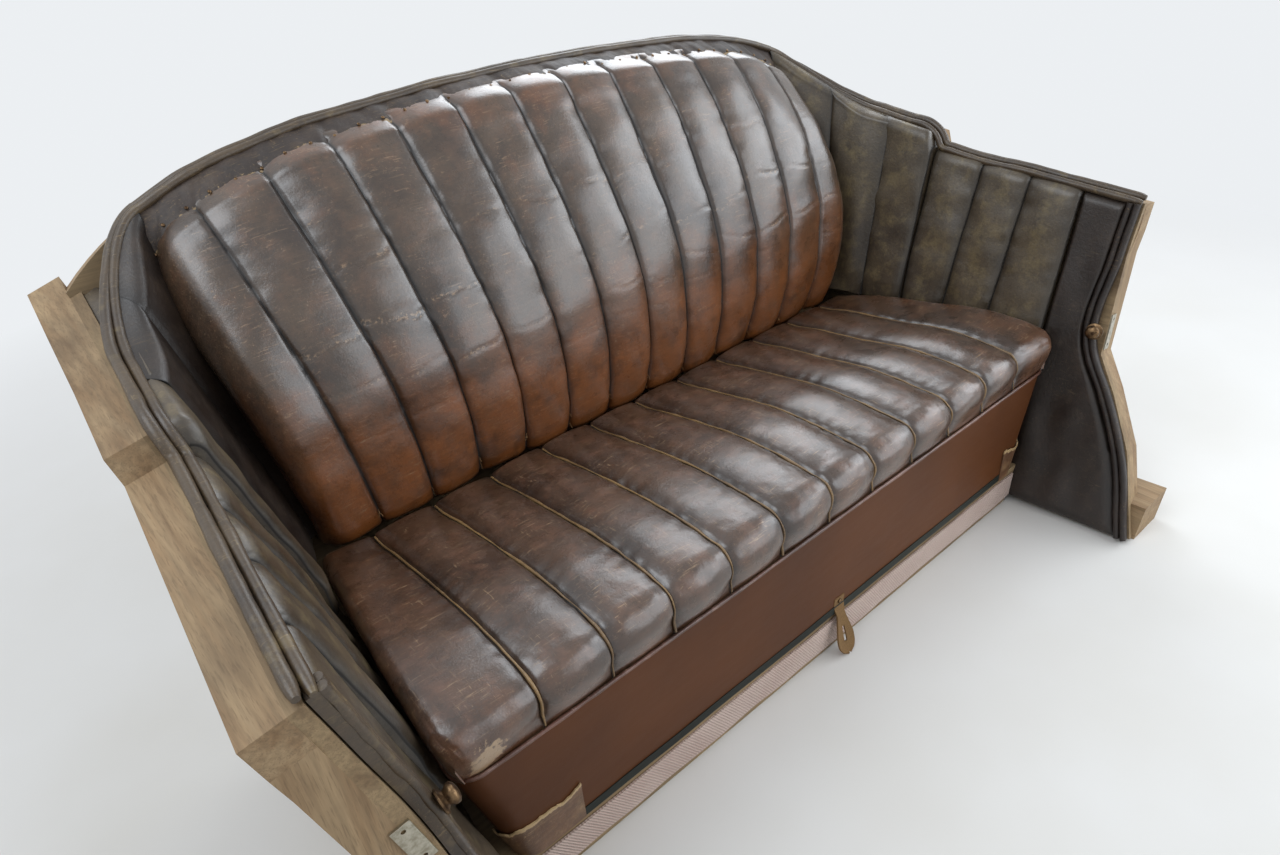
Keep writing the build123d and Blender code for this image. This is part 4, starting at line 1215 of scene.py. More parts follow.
# ---------------------------------------------------------------- squab
@dataclass
class Squab:
    """The quilted back: thirteen pleats that fan out upwards, nailed along the top."""

    finishes: Finishes
    pitch: float = 84.0
    foot_half: float = 536.0
    foot_height: float = 280.0
    round_end: float = 40.0 / 560.0
    end_fall: float = 40.0
    seam_depth: float = 6.8

    # part of the half width, across and height of the top, then height and depth of the face
    TOP = ((0.0, 0.0, 792.0), (0.2, 121.0, 790.0), (0.4, 243.0, 783.0), (0.62, 378.0, 768.0),
           (0.77, 469.0, 748.0), (0.87, 528.0, 728.0), (0.94, 562.0, 702.0), (1.0, 588.0, 644.0))
    PROFILE = ((280.0, 426.0), (300.0, 419.0), (340.0, 409.0), (395.0, 402.5), (450.0, 403.5),
               (500.0, 409.5), (560.0, 430.0), (620.0, 459.0), (690.0, 502.0), (745.0, 543.0),
               (772.0, 566.0), (786.0, 584.0), (792.0, 606.0))
    # height and strength of the creases that backs have bent
    CREASES = ((575.0, 1.0), (648.0, 0.45), (508.0, 0.5), (455.0, 0.3))
    FRONT = (0.0, -1.0, 0.0)

    def columns(self) -> Net:
        """Return the column parameters: seams at half numbers, 6.5 at the ends, 7.5 at the board."""
        wall = np.linspace(0, 1, 9)[1:]
        return np.concatenate((-6.5 - wall[::-1], pleat_places(-6.5, 13, 20), 6.5 + wall))

    def rows(self) -> Net:
        """Return the row parameters: -1 at the board below, 0 to 1 up the face, 2 at the board above."""
        return np.concatenate((np.linspace(-1, 0, 11)[:-1], np.linspace(0, 1, 149)[:-1], np.linspace(1, 2, 9)))

    def base(self, column: Net, row: Net) -> Net:
        """Place the unquilted skin.

        Args:
            column: column parameters.
            row: row parameters.

        Returns:
            The skin's points.
        """
        part = np.clip(column / 6.5, -1, 1)
        size, up = np.abs(part), unit(row)
        top = smooth_line(self.TOP, size)
        foot = self.foot_half * size
        across = foot + (top[..., 0] - foot) * up
        height = self.foot_height + (top[..., 1] - self.foot_height) * up
        depth = smooth_line(self.PROFILE, height + (self.TOP[0][2] - top[..., 1]) * up ** 2.5)
        depth = depth + self.end_fall * round_off(unit((size - (1 - self.round_end)) / self.round_end))
        depth = depth + 9.0 * round_off(unit(1 - up / 0.03))
        board = LINES.back_depth(height, 0.0) - 1.0
        depth = np.minimum(depth, board - 2.0)
        wall = 1 - (1 - unit(np.abs(column) - 6.5)) * (1 - unit(np.maximum(-row, row - 1)))
        return net(np.sign(part) * across, LINES.face_y + depth + (board - depth) * wall, height)

    def build(self) -> None:
        """Make the pad, the nailed strip along its top and its loose threads."""
        column, row = np.meshgrid(self.columns(), self.rows())
        points = self.base(column, row)
        size = np.abs(column)
        part = np.where(size > 5.5, unit((size - 5.5) / 1.7), np.mod(column + 6.5, 1.0))
        fade = unit((row + 0.6) / 0.6) * unit((1.35 - row) / 0.45) * unit((7.5 - size) / 0.9)
        valley = pleat(part, self.seam_depth, 2.5) * fade
        points = points - skin_normals(points, self.FRONT) * valley[..., None]
        nearest = np.abs(column + 0.5 - np.round(column + 0.5))
        rim = (row < -0.3) | (row > 1.0) | (size > 7.0)
        points = stuffed(points, (nearest < 1e-6) & (size < 6) | rim, 7.0)
        normals = skin_normals(points, self.FRONT)
        gap = np.where(size < 6.0, nearest * self.pitch, self.pitch / 2)
        place = net(column * self.pitch, points[..., 1], points[..., 2])
        dents = 2.2 * drift(place, 140.0, 103) + 0.8 * drift(place, 55.0, 104)
        folds, creased = self.creases(place, part, gap)
        lift = dents + folds + puckers(place, gap, 105) - 2.6 * bell(gap, 2.2)
        points = points + normals * (lift * fade)[..., None]
        board = LINES.face_y + LINES.back_depth(points[..., 2], 0.0) - 1.0
        points[..., 1] = np.minimum(points[..., 1], board)
        # painted shade: the lower third of the face curves down away from the light and shows no sheen, so it
        # takes the warmer red-brown, and a band along the top does so more faintly
        low = unit((560.0 - points[..., 2]) / 190.0) + 0.25 * unit((points[..., 2] - 728.0) / 40.0)
        end = unit((size - 6.2) / 0.3)
        # the seam mark is capped at 14 mm, and at 5 mm on the ends, so the whole face takes some of the
        # darkening beside seams and the ends take more
        marks = {"crest": crest(part), "seam": np.minimum(gap, 14 - 9 * end), "low": low, "fold": creased,
                 "torn": 0.32 * end * (column < 0)}
        pad = grid_object("squab_pad_hide", points, marks, self.rest_on_board)
        dress(pad, self.finishes.squab_hide, BENCH, "brown_hide", "squab_pad")
        self.top_strip(points, column, row)
        self.threads(points, column, row, normals)

    def creases(self, place: Net, part: Net, gap: Net) -> tuple[Net, Net]:
        """Fold the pleats where backs have bent them.

        Args:
            place: flattened places on the skin.
            part: place across the pleat.
            gap: distance to the nearest seam.

        Returns:
            The height of the folds and the strength of the crease lines.
        """
        lift, strength = np.zeros(part.shape), np.zeros(part.shape)
        number = np.clip(np.floor(place[..., 0] / self.pitch + 6.5 + 1e-6), 0, 15).astype(int)
        for order, (height, share) in enumerate(self.CREASES):
            chance = np.random.default_rng(500 + order)
            shift = chance.normal(size=16)[number] * 9.0
            slant = chance.normal(size=16)[number] * 14.0
            level = chance.uniform(0.1, 1.0, size=16)[number] * share
            off = place[..., 2] - height - shift - slant * (part - 0.5) - 2.5 * drift(place, 22.0, 510 + order)
            lift += level * (1.1 * bell(off, 14.0) - 1.9 * bell(off, 2.2))
            strength = np.maximum(strength, level * bell(off, 1.7))
        return lift * unit(gap / 6.0), strength * unit(0.75 + 0.5 * drift(place, 30.0, 520))

    @staticmethod
    def rest_on_board(edge: Net) -> Net:
        """Put the rim of the skin on the squab's board."""
        height = 540 + (edge[:, 2] - 540) * 0.985
        return net(edge[:, 0] * 0.985, LINES.face_y + LINES.back_depth(height, 0.0) - 0.3, height)

    def top_strip(self, points: Net, column: Net, row: Net) -> None:
        """Nail a worn strip along the squab's top edge.

        Args:
            points: the skin.
            column: its column parameters.
            row: its row parameters.
        """
        count = 420
        line = points[int(np.argmin(np.abs(row[:, 0] - 1.0))), np.abs(column[0]) <= 6.45]
        run = run_of(line)
        line = smooth_line(np.column_stack((run, line))[::3], np.linspace(0, run[-1], count))
        across, up = back_arch(np.linspace(-1, 1, count), 5.0)
        wear = np.convolve(np.random.default_rng(7).normal(size=count), np.ones(5) / 5, "same")
        part = np.linspace(0, 1, 7)[:, None]
        low = line + np.array((0.0, -9.0, -5.0)) - net(0 * wear, 1.2 * wear, 2.2 * wear)
        strip = low + (LINES.back_point(across, up, 6.0) - low) * part[..., None]
        strip[..., 2] += 3.0 * np.sin(part * math.pi) + 0.8 * drift(strip, 18.0, 131)
        marks = {"crest": part, "seam": FAR_FROM_SEAM, "torn": unit(0.9 - part * 3 + 0.35 * wear)}
        dress(sheet_object("squab_top_strip", strip, marks, 1.8, (0.0, 3000.0, -3000.0)),
              self.finishes.strip_hide, BENCH, "edging_hide")
        heads = bmesh.new()
        for place in strip[1, 8::12]:
            head = (Matrix.Translation(Vector((place + np.array((0.0, -0.8, 0.8))) * MM))
                    @ Matrix.Rotation(math.radians(42), 4, "X") @ Matrix.Diagonal((1, 1, 0.5, 1)))
            bmesh.ops.create_uvsphere(heads, u_segments=10, v_segments=6, radius=2.6 * MM, matrix=head)
        dress(finish_mesh("squab_top_nails", smoothed(heads), 80), self.finishes.brass, BENCH, "nickel")

    def threads(self, points: Net, column: Net, row: Net, normals: Net) -> None:
        """Let a few threads stick out at the foot of the seams.

        Args:
            points: the skin.
            column: its column parameters.
            row: its row parameters.
            normals: its normals.
        """
        chance = np.random.default_rng(17)
        step = np.linspace(0, 1, 7)[:, None]
        strands = []
        for k in np.repeat(np.arange(-5.5, 6.0), 2):
            at = int(np.argmin(np.abs(column[0] - k)))
            up = int(np.argmin(np.abs(row[:, 0] - chance.uniform(0.03, 0.09))))
            lean = normals[up, at] * 4 + chance.normal(size=3) * (2.4, 1.4, 2.4)
            curl = chance.normal(size=3) * 2.2 + np.array((0, 0, -3.5))
            strands.append(points[up, at] + normals[up, at] + lean * step + curl * step ** 2)
        dress(tube("squab_loose_threads", strands, 0.3, 1), self.finishes.flesh, BENCH, "brown_hide")


# ---------------------------------------------------------------- sides
@dataclass
class SideTrim:
    """The trim of one side: pleated pads, plain panel and cover, rolls, beads and door fittings."""

    finishes: Finishes
    name: str
    sign: int
    seam_depth: float = 6.5
    board_layer: float = 23.8
    foot: float = 13.0
    cover_foot: float = 345.0

    SEAM_FOOT = 270.0
    SEAM_HEAD = 600.0
    # depths of the front edge, the seams and the rear edge, each at SEAM_FOOT and at SEAM_HEAD
    FRONT_SEAMS = ((21.5, 21.5), (122.0, 108.0), (209.0, 195.0), (288.5, 288.5))
    REAR_SEAM = (377.0, 391.0)
    REAR_END = 600.0
    # radius and height of the door's rubbing knob
    KNOB = ((0.0, 0.0), (9.0, 0.0), (10.8, 1.2), (10.8, 3.0), (8.0, 4.0), (6.2, 6.0), (7.4, 8.5),
            (9.0, 11.0), (8.6, 14.0), (6.0, 16.0), (2.6, 16.8), (0.0, 17.0))

    def build(self) -> None:
        """Make all the pieces of the side."""
        self.front_pad()
        self.rear_pad()
        self.corner_pad()
        self.front_panel()
        self.lower_cover()
        self.rolls()
        self.edging()
        self.fittings()

    def place(self, places: Net) -> Net:
        """Turn places of depth, height and layer into points of the seat."""
        return LINES.side(self.sign, places)

    def seam_at(self, seam: Knots | Net, height: Net) -> Net:
        """Return the depth of a leaning seam at a height up the side."""
        foot, head = np.moveaxis(np.asarray(seam, float), -1, 0)
        return foot + (head - foot) * ((height - self.SEAM_FOOT) / (self.SEAM_HEAD - self.SEAM_FOOT))

    def quilt(self, seams: Knots, low: float, limit: Callable[[Net], Net], face: float,
              seed: int) -> tuple[Net, dict[str, Net]]:
        """Lay out upright pleats on the side.

        Args:
            seams: depths of the front edge, the seams and the rear edge, at SEAM_FOOT and SEAM_HEAD.
            low: height of the foot.
            limit: gives the height of the top line at a depth.
            face: layer of the crests.
            seed: of the unevenness.

        Returns:
            Places of depth, height and layer, and their marks.
        """
        count = len(seams) - 1
        up = np.concatenate((np.linspace(0, 0.04, 6)[:-1], np.linspace(0.04, 0.93, 90)[:-1],
                             np.linspace(0.93, 1, 10)))
        rise, column = np.meshgrid(up, pleat_places(0, count, 16), indexing="ij")
        number = np.clip(np.floor(column), 0, count - 1).astype(int)
        part = column - number
        pairs = np.array(seams, float)
        height = low + 400.0 * rise
        # the top line and the leaning seams depend on each other, and three rounds settle them
        for _ in range(3):
            start, end = (self.seam_at(pairs[number + k], height) for k in (0, 1))
            depth = start + (end - start) * part
            top = limit(depth)
            height = low + (top - 1.0 - low) * rise
        gap = np.minimum(depth - start, end - depth)
        roll_in = 15.0 * round_off(unit(1 - (top - height) / 20.0))
        foot_in = 12.0 * round_off(unit(1 - (height - low) / 16.0))
        field = net(depth, height, seed * 91.0)
        belly = 6.0 * np.sin(math.pi * unit((height - low) / (top - low))) ** 0.8 * (face > -1)
        uneven = belly + 1.6 * drift(field, 120.0, seed) + 0.8 * drift(field, 40.0, seed + 1)
        layer = (face + 1.5 + pleat(part ** 0.58, self.seam_depth, 2.3) + roll_in + foot_in - uneven
                 - puckers(field, gap, seed + 2, 0.8, 16.0, 12.0, 0.4) + 1.8 * bell(gap, 2.6))
        marks = {"crest": crest(part), "seam": np.where(gap < 0.01, 0.0, gap)}
        return net(depth, height, np.minimum(layer, 22.5)), marks

    def onto_board(self, edge: Net, shrink: float) -> Net:
        """Push the rim of a skin outwards to the board's face.

        Args:
            edge: the rim's points.
            shrink: how far it draws in towards its middle, as a share.

        Returns:
            The moved points.
        """
        normal = LINES.outward(self.sign)
        origin = self.place(np.array((0.0, 0.0, self.board_layer)))
        moved = edge + normal * ((origin - edge) @ normal)[:, None]
        return moved + (moved.mean(0) - moved) * shrink

    def pad(self, name: str, places: Net, marks: dict[str, Net | float], hide: bpy.types.Material,
            fill: float, shrink: float = 0.01) -> None:
        """Make a padded piece on the side's board, named for its CAD node, from places and marks."""
        piece = grid_object(f"{name}_{self.name}_hide", self.place(places), marks,
                            lambda edge: self.onto_board(edge, shrink))
        dress(piece, hide, BENCH, "olive_hide", f"{name}_{self.name}")

    def front_pad(self) -> None:
        """Make the pleated pad ahead of the step."""
        places, marks = self.quilt(self.FRONT_SEAMS, 206.0, top_height, 0.0, 200 + self.sign)
        self.pad("front_pad", places, marks, self.finishes.side_hide, 0.5)

    def rear_pad(self) -> None:
        """Make the pleated pad behind the step, cut off at the back."""
        seams = ((291.0, 291.0), self.REAR_SEAM, (self.REAR_END, self.REAR_END))
        places, marks = self.quilt(seams, 296.0, rear_top, -12.0, 220 + self.sign)
        depth, height, layer = np.moveaxis(places, -1, 0)
        seam = self.seam_at(self.REAR_SEAM, height)
        end = LINES.rear_limit(self.sign, height, layer, 4.0)
        # the corner pad lies over the rear part, and the foot draws back where the cushion lifts past it
        over = unit((depth - seam) / (self.REAR_END - seam))
        depth = np.where(over > 0, seam + over * (end - seam), depth)
        layer = np.where(over > 0, np.maximum(layer, np.clip(over * 60, 0, 3.0)), layer)
        layer = layer + 7.0 * unit((self.cover_foot - height) / 40.0) * (layer < 9)
        height = np.minimum(rear_top(depth) - 1, height)
        self.pad("rear_pad", net(depth, height, layer), marks, self.finishes.side_hide, 0.5)

    def corner_pad(self) -> None:
        """Make the rounded pad in the rear corner, a sheet of hide over a wedge of stuffing."""
        rise, turn = net_box(90, 70)
        foot, shoulder, middle = 300.0, 0.8, 0.54
        # the top edge lies under the inner strand of the roll
        lift, layer, _ = SIDE_ROLLS[1]
        ahead = np.linspace(self.REAR_SEAM[1], ARM_KNEE[0] - 8, 6)
        on_side = self.place(net(ahead, rear_top(ahead) + lift, layer))
        line = even_path(np.concatenate((on_side, self.corner_route(1)[1:])), 4.0)
        line = smooth_line(np.column_stack((np.linspace(0, 1, len(line)), line)), turn[0])
        height = foot + (line[:, 2] - 12.0 - 14.0 * turn - foot) * unit(rise / shoulder)
        # in plan the face is an arc from the rear seam to the board of the back
        wall = LINES.back_depth(height, 4.6)
        front = self.seam_at(self.REAR_SEAM, height / math.cos(LINES.lean)) - 1.0
        side_x = LINES.lining_x(front, height, -12.0)
        far_x = LINES.lining_x(wall, height, -13.0) - 66.0
        angle = np.arctan2(side_x - far_x, wall - 3.0 - front) - LINES.taper
        radius = np.hypot(far_x - side_x, wall - 3.0 - front) / (2 * np.sin(angle))
        swing = 2 * angle * turn
        along, inward = radius * np.sin(swing), radius * (1 - np.cos(swing))
        sine, cosine = math.sin(LINES.taper), math.cos(LINES.taper)
        points = net(self.sign * (side_x - inward * cosine - along * sine),
                     LINES.face_y + front + along * cosine - inward * sine, height)
        part = np.where(turn < middle, turn / middle, (turn - middle) / (1 - middle))
        gap = np.minimum(part, 1 - part) * 95.0
        edge = unit((1 - turn) / 0.12)
        valley = pleat(part ** 0.85, self.seam_depth, 2.2) + 1.8 * bell(gap, 3.0) * (turn > 0.02)
        uneven = (1.4 * drift(points, 90.0, 240 + self.sign)
                  + 0.8 * drift(points * np.array((1, 1, 0.4)), 34.0, 241))
        foot_in = 7.0 * unit((self.cover_foot - height) / 45.0)
        points[..., 0] += self.sign * (valley * np.where(turn < 0.9, 1.0, edge) + foot_in
                                       - uneven * unit(turn / 0.1) * edge)
        over = unit((rise - shoulder) / (1 - shoulder)) * math.pi / 2
        blend = net(1 - np.cos(over), 1 - np.cos(over), np.sin(over))
        points = points + (line - points) * blend
        # the hidden side follows the side trim to the corner, and then the board of the back
        rear_depth = front + (wall - front) * unit(turn / 0.5)
        corner_x = LINES.lining_x(rear_depth, height, -4.0)
        rear_x = corner_x + (far_x + 4.0 - corner_x) * unit((turn - 0.5) / 0.5)
        rear = net(self.sign * rear_x, LINES.face_y + rear_depth + 0.6, height - 1.0)
        rear = rear + (line + np.array((0.0, 2.0, -5.0)) - rear) * blend
        marks = {"crest": crest(part), "seam": gap}
        # painted shade: the left corner pad takes the dark panel hide, as that corner lies in shade; the right
        # one takes the side hide
        hide = self.finishes.panel_hide if self.sign < 0 else self.finishes.side_hide
        piece = lined_object(f"corner_pad_{self.name}_hide", points, rear, marks)
        dress(piece, hide, BENCH, "edging_hide", f"corner_pad_{self.name}")

    def front_panel(self) -> None:
        """Make the plain panel between the beads and the pleats, slack over its wadding."""
        rise, part = net_box(150, 26)
        edge = pillar_line(self.foot + rise * 557.0) + 22.0
        depth = edge + (19.5 - edge) * part
        top = top_height(depth) - 1.0
        height = self.foot + rise * (top - self.foot)
        beside = np.minimum(part, 1 - part)
        bulge = unit(np.minimum(beside / 0.08, np.minimum(rise, 1 - rise) / 0.03)) ** 0.5
        field = net(depth, height, 0)
        layer = (12.0 - 7.0 * bulge - 1.4 * drift(field, 150.0, 260 + self.sign) * bulge
                 + 0.9 * drift(field * np.array((1.0, 0.35, 1)), 30.0, 262) * bulge
                 + 12.0 * unit(1 - (top - height) / 14.0) ** 2)
        # the seam mark falls to 3 mm at the edges, where the panel dips to the board, so they darken as beside
        # a seam: grime and painted shade
        marks = {"crest": 0.35, "seam": 30 * np.clip(beside / 0.1, 0.1, 1)}
        # painted light: the left panel takes the paler side hide and the right one the dark panel hide, since
        # the left side is lit more than the right
        hide = self.finishes.side_hide if self.sign < 0 else self.finishes.panel_hide
        self.pad("front_panel", net(depth, height, np.minimum(layer, 22.0)), marks, hide, 0.3, 0.004)

    def lower_cover(self) -> None:
        """Cover the side below the pads, where the cushion hides most of it."""
        for label, front, rear, head in (("ahead", 21.5, 289.5, 203.5), ("behind", 290.5, None, 294.0)):
            rise, part = net_box(34, 40)
            height = self.foot + rise * (head - self.foot)
            end = rear or LINES.rear_limit(self.sign, height, 22.0, 7.0)
            depth = front + (end - front) * part
            layer = (13.0 + 6.0 * unit((60.0 - height) / 40.0)
                     - 0.5 * drift(net(depth, height, 0), 80.0, 270))
            cover = sheet_object(f"lower_cover_{label}_{self.name}", self.place(net(depth, height, layer)),
                                 {"crest": 0.2, "seam": RIM_FROM_SEAM}, 2.5, (self.sign * 3000.0, 0.0, 300.0))
            nodes = (f"lower_cover_{self.name}",) if label == "ahead" else ()
            dress(cover, self.finishes.side_hide, BENCH, "olive_hide", *nodes)

    def rolls(self) -> None:
        """Run the double roll along the top from the pillar over the step and round the rear corner."""
        ahead = STEP_LOW[0] - 26
        line = even_path(np.array((
            (PILLAR_EDGE[-1][0] + 2, PILLAR_EDGE[-1][1]), (110.0, top_height(110.0)),
            (ahead, top_height(ahead) - 0.6), (STEP_LOW[0] - 7, STEP_LOW[1] + 1),
            (STEP_LOW[0] + 1, STEP_LOW[1] + 13), (STEP_HIGH[0] - 3, STEP_HIGH[1] - 6),
            (STEP_HIGH[0] + 12, STEP_HIGH[1] + 2.5), (360.0, 638.6), (ARM_KNEE[0] - 8, ARM_KNEE[1] - 1))), 5.0)
        tangent = np.gradient(line, axis=0)
        tangent /= np.linalg.norm(tangent, axis=1, keepdims=True)
        strands = []
        for strand, (lift, layer, size) in enumerate(SIDE_ROLLS):
            spot = line + net(-tangent[:, 1], tangent[:, 0]) * lift
            along = self.place(net(spot[:, 0], spot[:, 1], layer))
            whole = even_path(np.concatenate((along[:-2], self.corner_route(strand)[1:])), 6.0)
            thick = size * (1 + 0.05 * drift(whole, 25.0, 281))
            thick[:3] *= (0.62, 0.86, 0.97)
            whole[:, 2] += 0.5 * drift(whole, 60.0, 280)
            strands.append(np.column_stack((whole, thick)))
        dress(tube(f"top_roll_{self.name}", strands, 6.6, 4), self.finishes.edge_hide, BENCH, "edging_hide",
              *(f"{node}_roll_{self.name}" for node in ("front", "rear", "corner")))

    def corner_route(self, strand: int) -> Net:
        """Lead a strand of the roll round the rear corner.

        Args:
            strand: 0 for the outer one, 1 for the inner.

        Returns:
            Points from the arm to the shoulder of the back.
        """
        (lift, layer, _), (raised, rearward, _) = SIDE_ROLLS[strand], BACK_ROLLS[strand]
        start = self.place(np.array((ARM_KNEE[0] + 5, ARM_KNEE[1] + lift + 1, layer)))
        ahead = start - self.place(np.array((ARM_KNEE[0] - 25, ARM_KNEE[1] + lift - 4, layer)))
        inner, end = (LINES.back_point(self.sign * across, up + raised, rearward)
                      for across, up in smooth_line(ARCH, np.array((0.94, 0.975))))
        first = start + ahead / np.linalg.norm(ahead) * 75.0
        last = end + (end - inner) / np.linalg.norm(end - inner) * 48.0
        step = np.linspace(0, 1, 19)[:, None]
        left = 1 - step
        return left ** 3 * start + 3 * step * left ** 2 * first + 3 * step ** 2 * left * last + step ** 3 * end

    def edging(self) -> None:
        """Run two beads down the door pillar on a sewn strip."""
        tall = np.linspace(12.5, 561.0, 130)
        back = pillar_line(tall)
        strands = []
        for inset in (6.5, 17.0):
            line = self.place(net(back + inset, tall, 8.0))
            line = line + 0.35 * drift(line, 40.0, 300)[:, None]
            strands.append(np.column_stack((line, 1 + 0.05 * drift(line, 20.0, 301))))
        # painted light: the left beads take the paler edging hide and the right ones the dark bead hide, since
        # the left side is lit more than the right
        hide = self.finishes.edge_hide if self.sign < 0 else self.finishes.bead_hide
        dress(tube(f"pillar_beads_{self.name}", strands, 5.0, 4), hide, BENCH, "edging_hide",
              f"pillar_edging_{self.name}")
        places = net(back[:, None] + 3.0 + 18.0 * np.linspace(0, 1, 6), tall[:, None], 11.0)
        strip = sheet_object(f"pillar_strip_{self.name}", self.place(places), {"seam": 20.0}, 11.0,
                             (self.sign * 3000.0, 0.0, 300.0))
        dress(strip, hide, BENCH, "edging_hide")

    def fittings(self) -> None:
        """Make the door's rubbing knob on the beads. The plate and its screws are the part's own."""
        spot, inner = (self.place(np.array((-62.0, 352.0, layer))) for layer in (2.7, -13.3))
        turned = Vector(inner - spot).to_track_quat("Z", "Y").to_matrix().to_4x4()
        shape = bmesh.new()
        verts = [shape.verts.new((x * 1.25 * MM, 0, z * 1.2 * MM)) for x, z in self.KNOB]
        edges = [shape.edges.new(pair) for pair in zip(verts, verts[1:])]
        bmesh.ops.spin(shape, geom=verts + edges, cent=(0, 0, 0), axis=(0, 0, 1), angle=2 * math.pi, steps=28,
                       use_merge=True)
        bmesh.ops.remove_doubles(shape, verts=shape.verts, dist=1e-6)
        bmesh.ops.recalc_face_normals(shape, faces=shape.faces)
        bmesh.ops.transform(shape, matrix=Matrix.Translation(Vector(spot * MM)) @ turned, verts=shape.verts)
        dress(finish_mesh(f"door_knob_{self.name}", smoothed(shape)), self.finishes.brass, BENCH,
              "black_rubber", f"door_buffer_{self.name}")


# ---------------------------------------------------------------- back and base
@dataclass
class BackAndBase:
    """The roll over the back, the lining round the squab and the heelboard's carpet."""

    finishes: Finishes

    def build(self) -> None:
        """Make the pieces."""
        self.back_roll()
        self.lining()
        self.carpet()

    def back_roll(self) -> None:
        """Run the double roll over the back from shoulder to shoulder."""
        strands = []
        for lift, rearward, size in BACK_ROLLS:
            across, up = back_arch(np.linspace(-0.98, 0.98, 200), lift)
            line = LINES.back_point(across, up, rearward)
            line[:, 2] += 0.6 * drift(line, 70.0, 310)
            strands.append(np.column_stack((line, size * (1 + 0.05 * drift(line, 24.0, 311)))))
        dress(tube("top_roll_back", strands, 6.6, 4), self.finishes.edge_hide, BENCH, "edging_hide",
              "back_roll")

    def lining(self) -> None:
        """Cover the strip of the back board that shows above and beside the squab."""
        part = np.linspace(0, 1, 9)[:, None]
        at = np.linspace(-1, 1, 220)[None, :]
        across, up = back_arch(at, -1.0)
        squab_top = smooth_line(Squab.TOP, np.abs(at))
        inner_across = np.sign(at) * squab_top[..., 0]
        inner_up = (squab_top[..., 1] - 30.0) / math.cos(LINES.rake)
        across = inner_across + (across - inner_across) * part
        points = LINES.back_point(across, inner_up + (up - inner_up) * part, 6.4 + 0.4 * np.sin(across / 30.0))
        cloth = sheet_object("back_lining_cloth", points, {}, 2.2, (0.0, 3000.0, 500.0))
        dress(cloth, self.finishes.lining, BENCH, "leathercloth", "back_lining")

    def carpet(self) -> None:
        """Glue a strip of carpet to the heelboard."""
        half = float(LINES.lining_x(0.0, 40.0, 2.0))
        rise, part = net_box(14, 260)
        points = net(-half + 2 * half * part, LINES.face_y - 3.6, 12.5 + 49.0 * rise)
        points[..., 1] -= 0.5 * drift(points, 50.0, 320)
        strip = sheet_object("heelboard_carpet_strip", points, {}, 3.0, (0.0, 3000.0, 40.0))
        dress(strip, self.finishes.carpet, BENCH, "carpet", "heelboard_carpet")


@dataclass
class Carcass:
    """The part's own timbers, boards and metal pieces, which keep their shape and get their finish."""

    finishes: Finishes

    def material(self, node: str) -> bpy.types.Material | None:
        """Find the finish of a CAD node.

        Args:
            node: its name.

        Returns:
            The finish, or None where a new piece stands for it.
        """
        wood, board = self.finishes.timber, self.finishes.board
        rules = ((("elbow_rail", "sill", "cushion_slat"), wood[Grain.BACK]),
                 (("pillar_post", "mid_post", "corner_post", "inner_post"), wood[Grain.UP]),
                 (("bearer", "back_top_rail", "back_bottom_rail"), wood[Grain.ACROSS]),
                 (("side_board",), board[Grain.BACK]),
                 (("back_board", "squab_board", "deck", "cushion_box"), board[Grain.ACROSS]),
                 (("striker_plate",), self.finishes.nickel))
        if node == "heelboard":
            return board[Grain.ACROSS]
        return next((finish for starts, finish in rules if node.startswith(starts)), None)

    def build(self) -> None:
        """Dress the CAD nodes."""
        for name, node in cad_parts.items():
            finish = self.material(name)
            if finish:
                for slot in node.material_slots:
                    slot.material = finish
                LOG.info("%s: %s", name, finish.name)


# ---------------------------------------------------------------- studio
def background_rays(tree: bpy.types.NodeTree) -> bpy.types.NodeSocket:
    """Pick out the rays that see the pale background: the camera's, reflected and transmitted ones.

    Args:
        tree: the node tree.

    Returns:
        A value of 1 for those rays and 0 for the others.
    """
    shown, *others = (add(tree, "LightPath", out=f"Is {kind} Ray")
                      for kind in ("Camera", "Glossy", "Transmission"))
    for ray in others:
        shown = add(tree, "Math", (shown, ray), operation="MAXIMUM")
    return shown


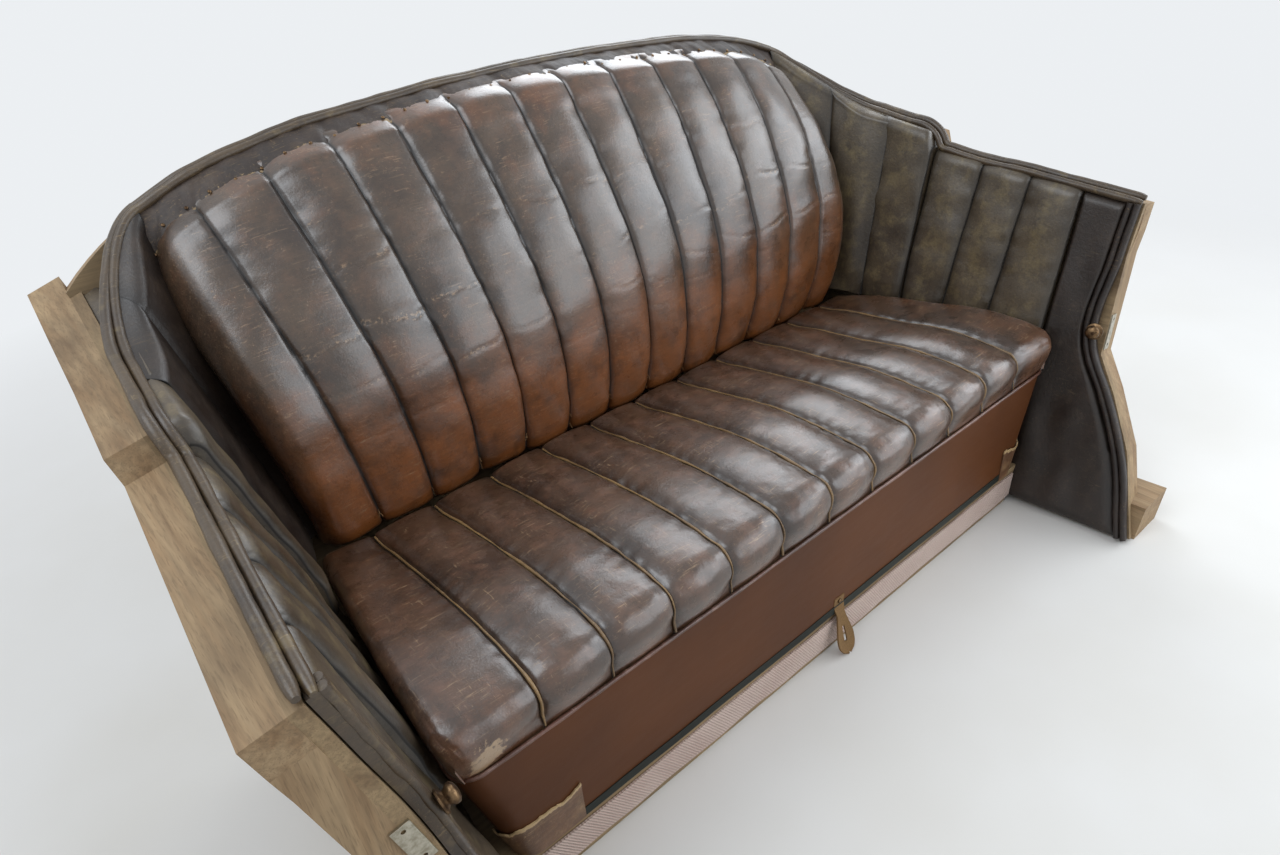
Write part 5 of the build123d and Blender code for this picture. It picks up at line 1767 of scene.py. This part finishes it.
@dataclass
class Studio:
    """Camera, pale floor and soft light."""

    eye: tuple[float, float, float] = (-0.74407, -0.79474, 1.03529)
    yaw: float = math.radians(38.05)
    pitch: float = math.radians(33.22)
    roll: float = math.radians(-4.86)
    lens: float = 23.73

    # name, place, target, size in metres and power in watts
    LAMPS = (("key", (-1.4, 0.2, 2.4), (0.0, 0.0, 0.4), 1.6, 32.0),
             ("fill", (1.2, -1.9, 1.35), (0.0, 0.1, 0.5), 1.9, 28.0),
             ("side", (2.3, -0.8, 1.6), (0.1, 0.0, 0.4), 1.35, 23.0),
             ("rear", (1.5, 1.5, 1.9), (0.1, -0.1, 0.3), 1.5, 27.0))
    DAYLIGHT = (0.89, 0.945, 1.0)
    SKY = (0.92, 0.95, 1.0, 1.0)
    BACKGROUND = (0.84, 0.865, 0.89, 1.0)

    def build(self) -> None:
        """Set up the view, the floor, the lamps and the world."""
        self.camera()
        self.floor()
        for lamp in self.LAMPS:
            self.lamp(*lamp)
        self.world()
        bpy.context.scene.view_settings.view_transform = "Standard"

    def camera(self) -> None:
        """Place the camera where the photograph was taken from."""
        forward = Vector((math.sin(self.yaw) * math.cos(self.pitch), math.cos(self.yaw) * math.cos(self.pitch),
                          -math.sin(self.pitch)))
        right = Vector((math.cos(self.yaw), -math.sin(self.yaw), 0))
        up = right.cross(forward)
        sine, cosine = math.sin(self.roll), math.cos(self.roll)
        data = bpy.data.cameras.new("view")
        data.lens = self.lens
        data.sensor_width = 36.0
        data.clip_start = 0.01
        data.clip_end = 50.0
        view = link_object("view", data)
        axes = Matrix((right * cosine + up * sine, up * cosine - right * sine, -forward)).transposed()
        view.matrix_world = Matrix.Translation(self.eye) @ axes.to_4x4()
        bpy.context.scene.camera = view

    def floor(self) -> None:
        """Lay a pale floor that fades into the background far away."""
        shape = bmesh.new()
        bmesh.ops.create_grid(shape, x_segments=1, y_segments=1, size=12.0)
        ground = finish_mesh("studio_floor", shape)
        made = bpy.data.materials.new("floor_pale")
        made.use_nodes = True
        tree = made.node_tree
        shader = tree.nodes["Principled BSDF"]
        place = add(tree, "TexCoord", out="Object")
        noise = add(tree, "TexNoise", {"Vector": place, "Scale": 3.0, "Detail": 3.0})
        mixed = add(tree, "ValToRGB", (noise,), stops=((0.3, "#dad7d1"), (0.7, "#e0deda")))
        feed(tree, shader, {"Base Color": mixed, "Roughness": 0.85})
        # far from the object the floor shows the background's colour, and lights nothing
        far = add(tree, "VectorMath", (place,), "Value", operation="LENGTH")
        reach = add(tree, "MapRange", (far, 0.95, 2.4))
        seen = add(tree, "Math", (reach, background_rays(tree)), operation="MULTIPLY")
        pale = add(tree, "Emission", {"Color": self.BACKGROUND, "Strength": 1.0})
        both = add(tree, "MixShader", (seen, shader.outputs[0], pale))
        feed(tree, tree.nodes["Material Output"], {"Surface": both})
        ground.data.materials.append(made)

    def lamp(self, name: str, place: tuple[float, float, float], target: tuple[float, float, float],
             size: float, power: float) -> None:
        """Hang a square area lamp that looks at a target.

        Args:
            name: the lamp's name.
            place: where it hangs, in metres.
            target: the point that it looks at, in metres.
            size: its width, in metres.
            power: in watts.
        """
        data = bpy.data.lights.new(name, "AREA")
        data.shape = "SQUARE"
        data.size = size
        data.energy = power
        data.color = self.DAYLIGHT
        lamp = link_object(name, data)
        lamp.location = place
        lamp.rotation_mode = "QUATERNION"
        lamp.rotation_quaternion = (Vector(target) - Vector(place)).to_track_quat("-Z", "Y")

    def world(self) -> None:
        """Give an even pale surround that looks white behind the object."""
        world = bpy.data.worlds.new("surround")
        bpy.context.scene.world = world
        world.use_nodes = True
        tree = world.node_tree
        ground = tree.nodes["Background"]
        feed(tree, ground, {"Color": self.SKY, "Strength": 0.45})
        seen = add(tree, "Background", {"Color": self.BACKGROUND, "Strength": 1.0})
        both = add(tree, "MixShader", (background_rays(tree), ground.outputs[0], seen))
        feed(tree, tree.nodes["World Output"], {"Surface": both})


def main() -> None:
    """Build the bench piece by piece and report each one."""
    logging.basicConfig(level=logging.INFO, format="%(name)s %(message)s")
    finishes = Finishes()
    Studio().build()
    Carcass(finishes).build()
    BackAndBase(finishes).build()
    SideTrim(finishes, "left", -1).build()
    SideTrim(finishes, "right", 1).build()
    Squab(finishes).build()
    CushionPad(finishes).build()
    CushionBoxTrim(finishes).build()


if __name__ == "__main__":
    main()
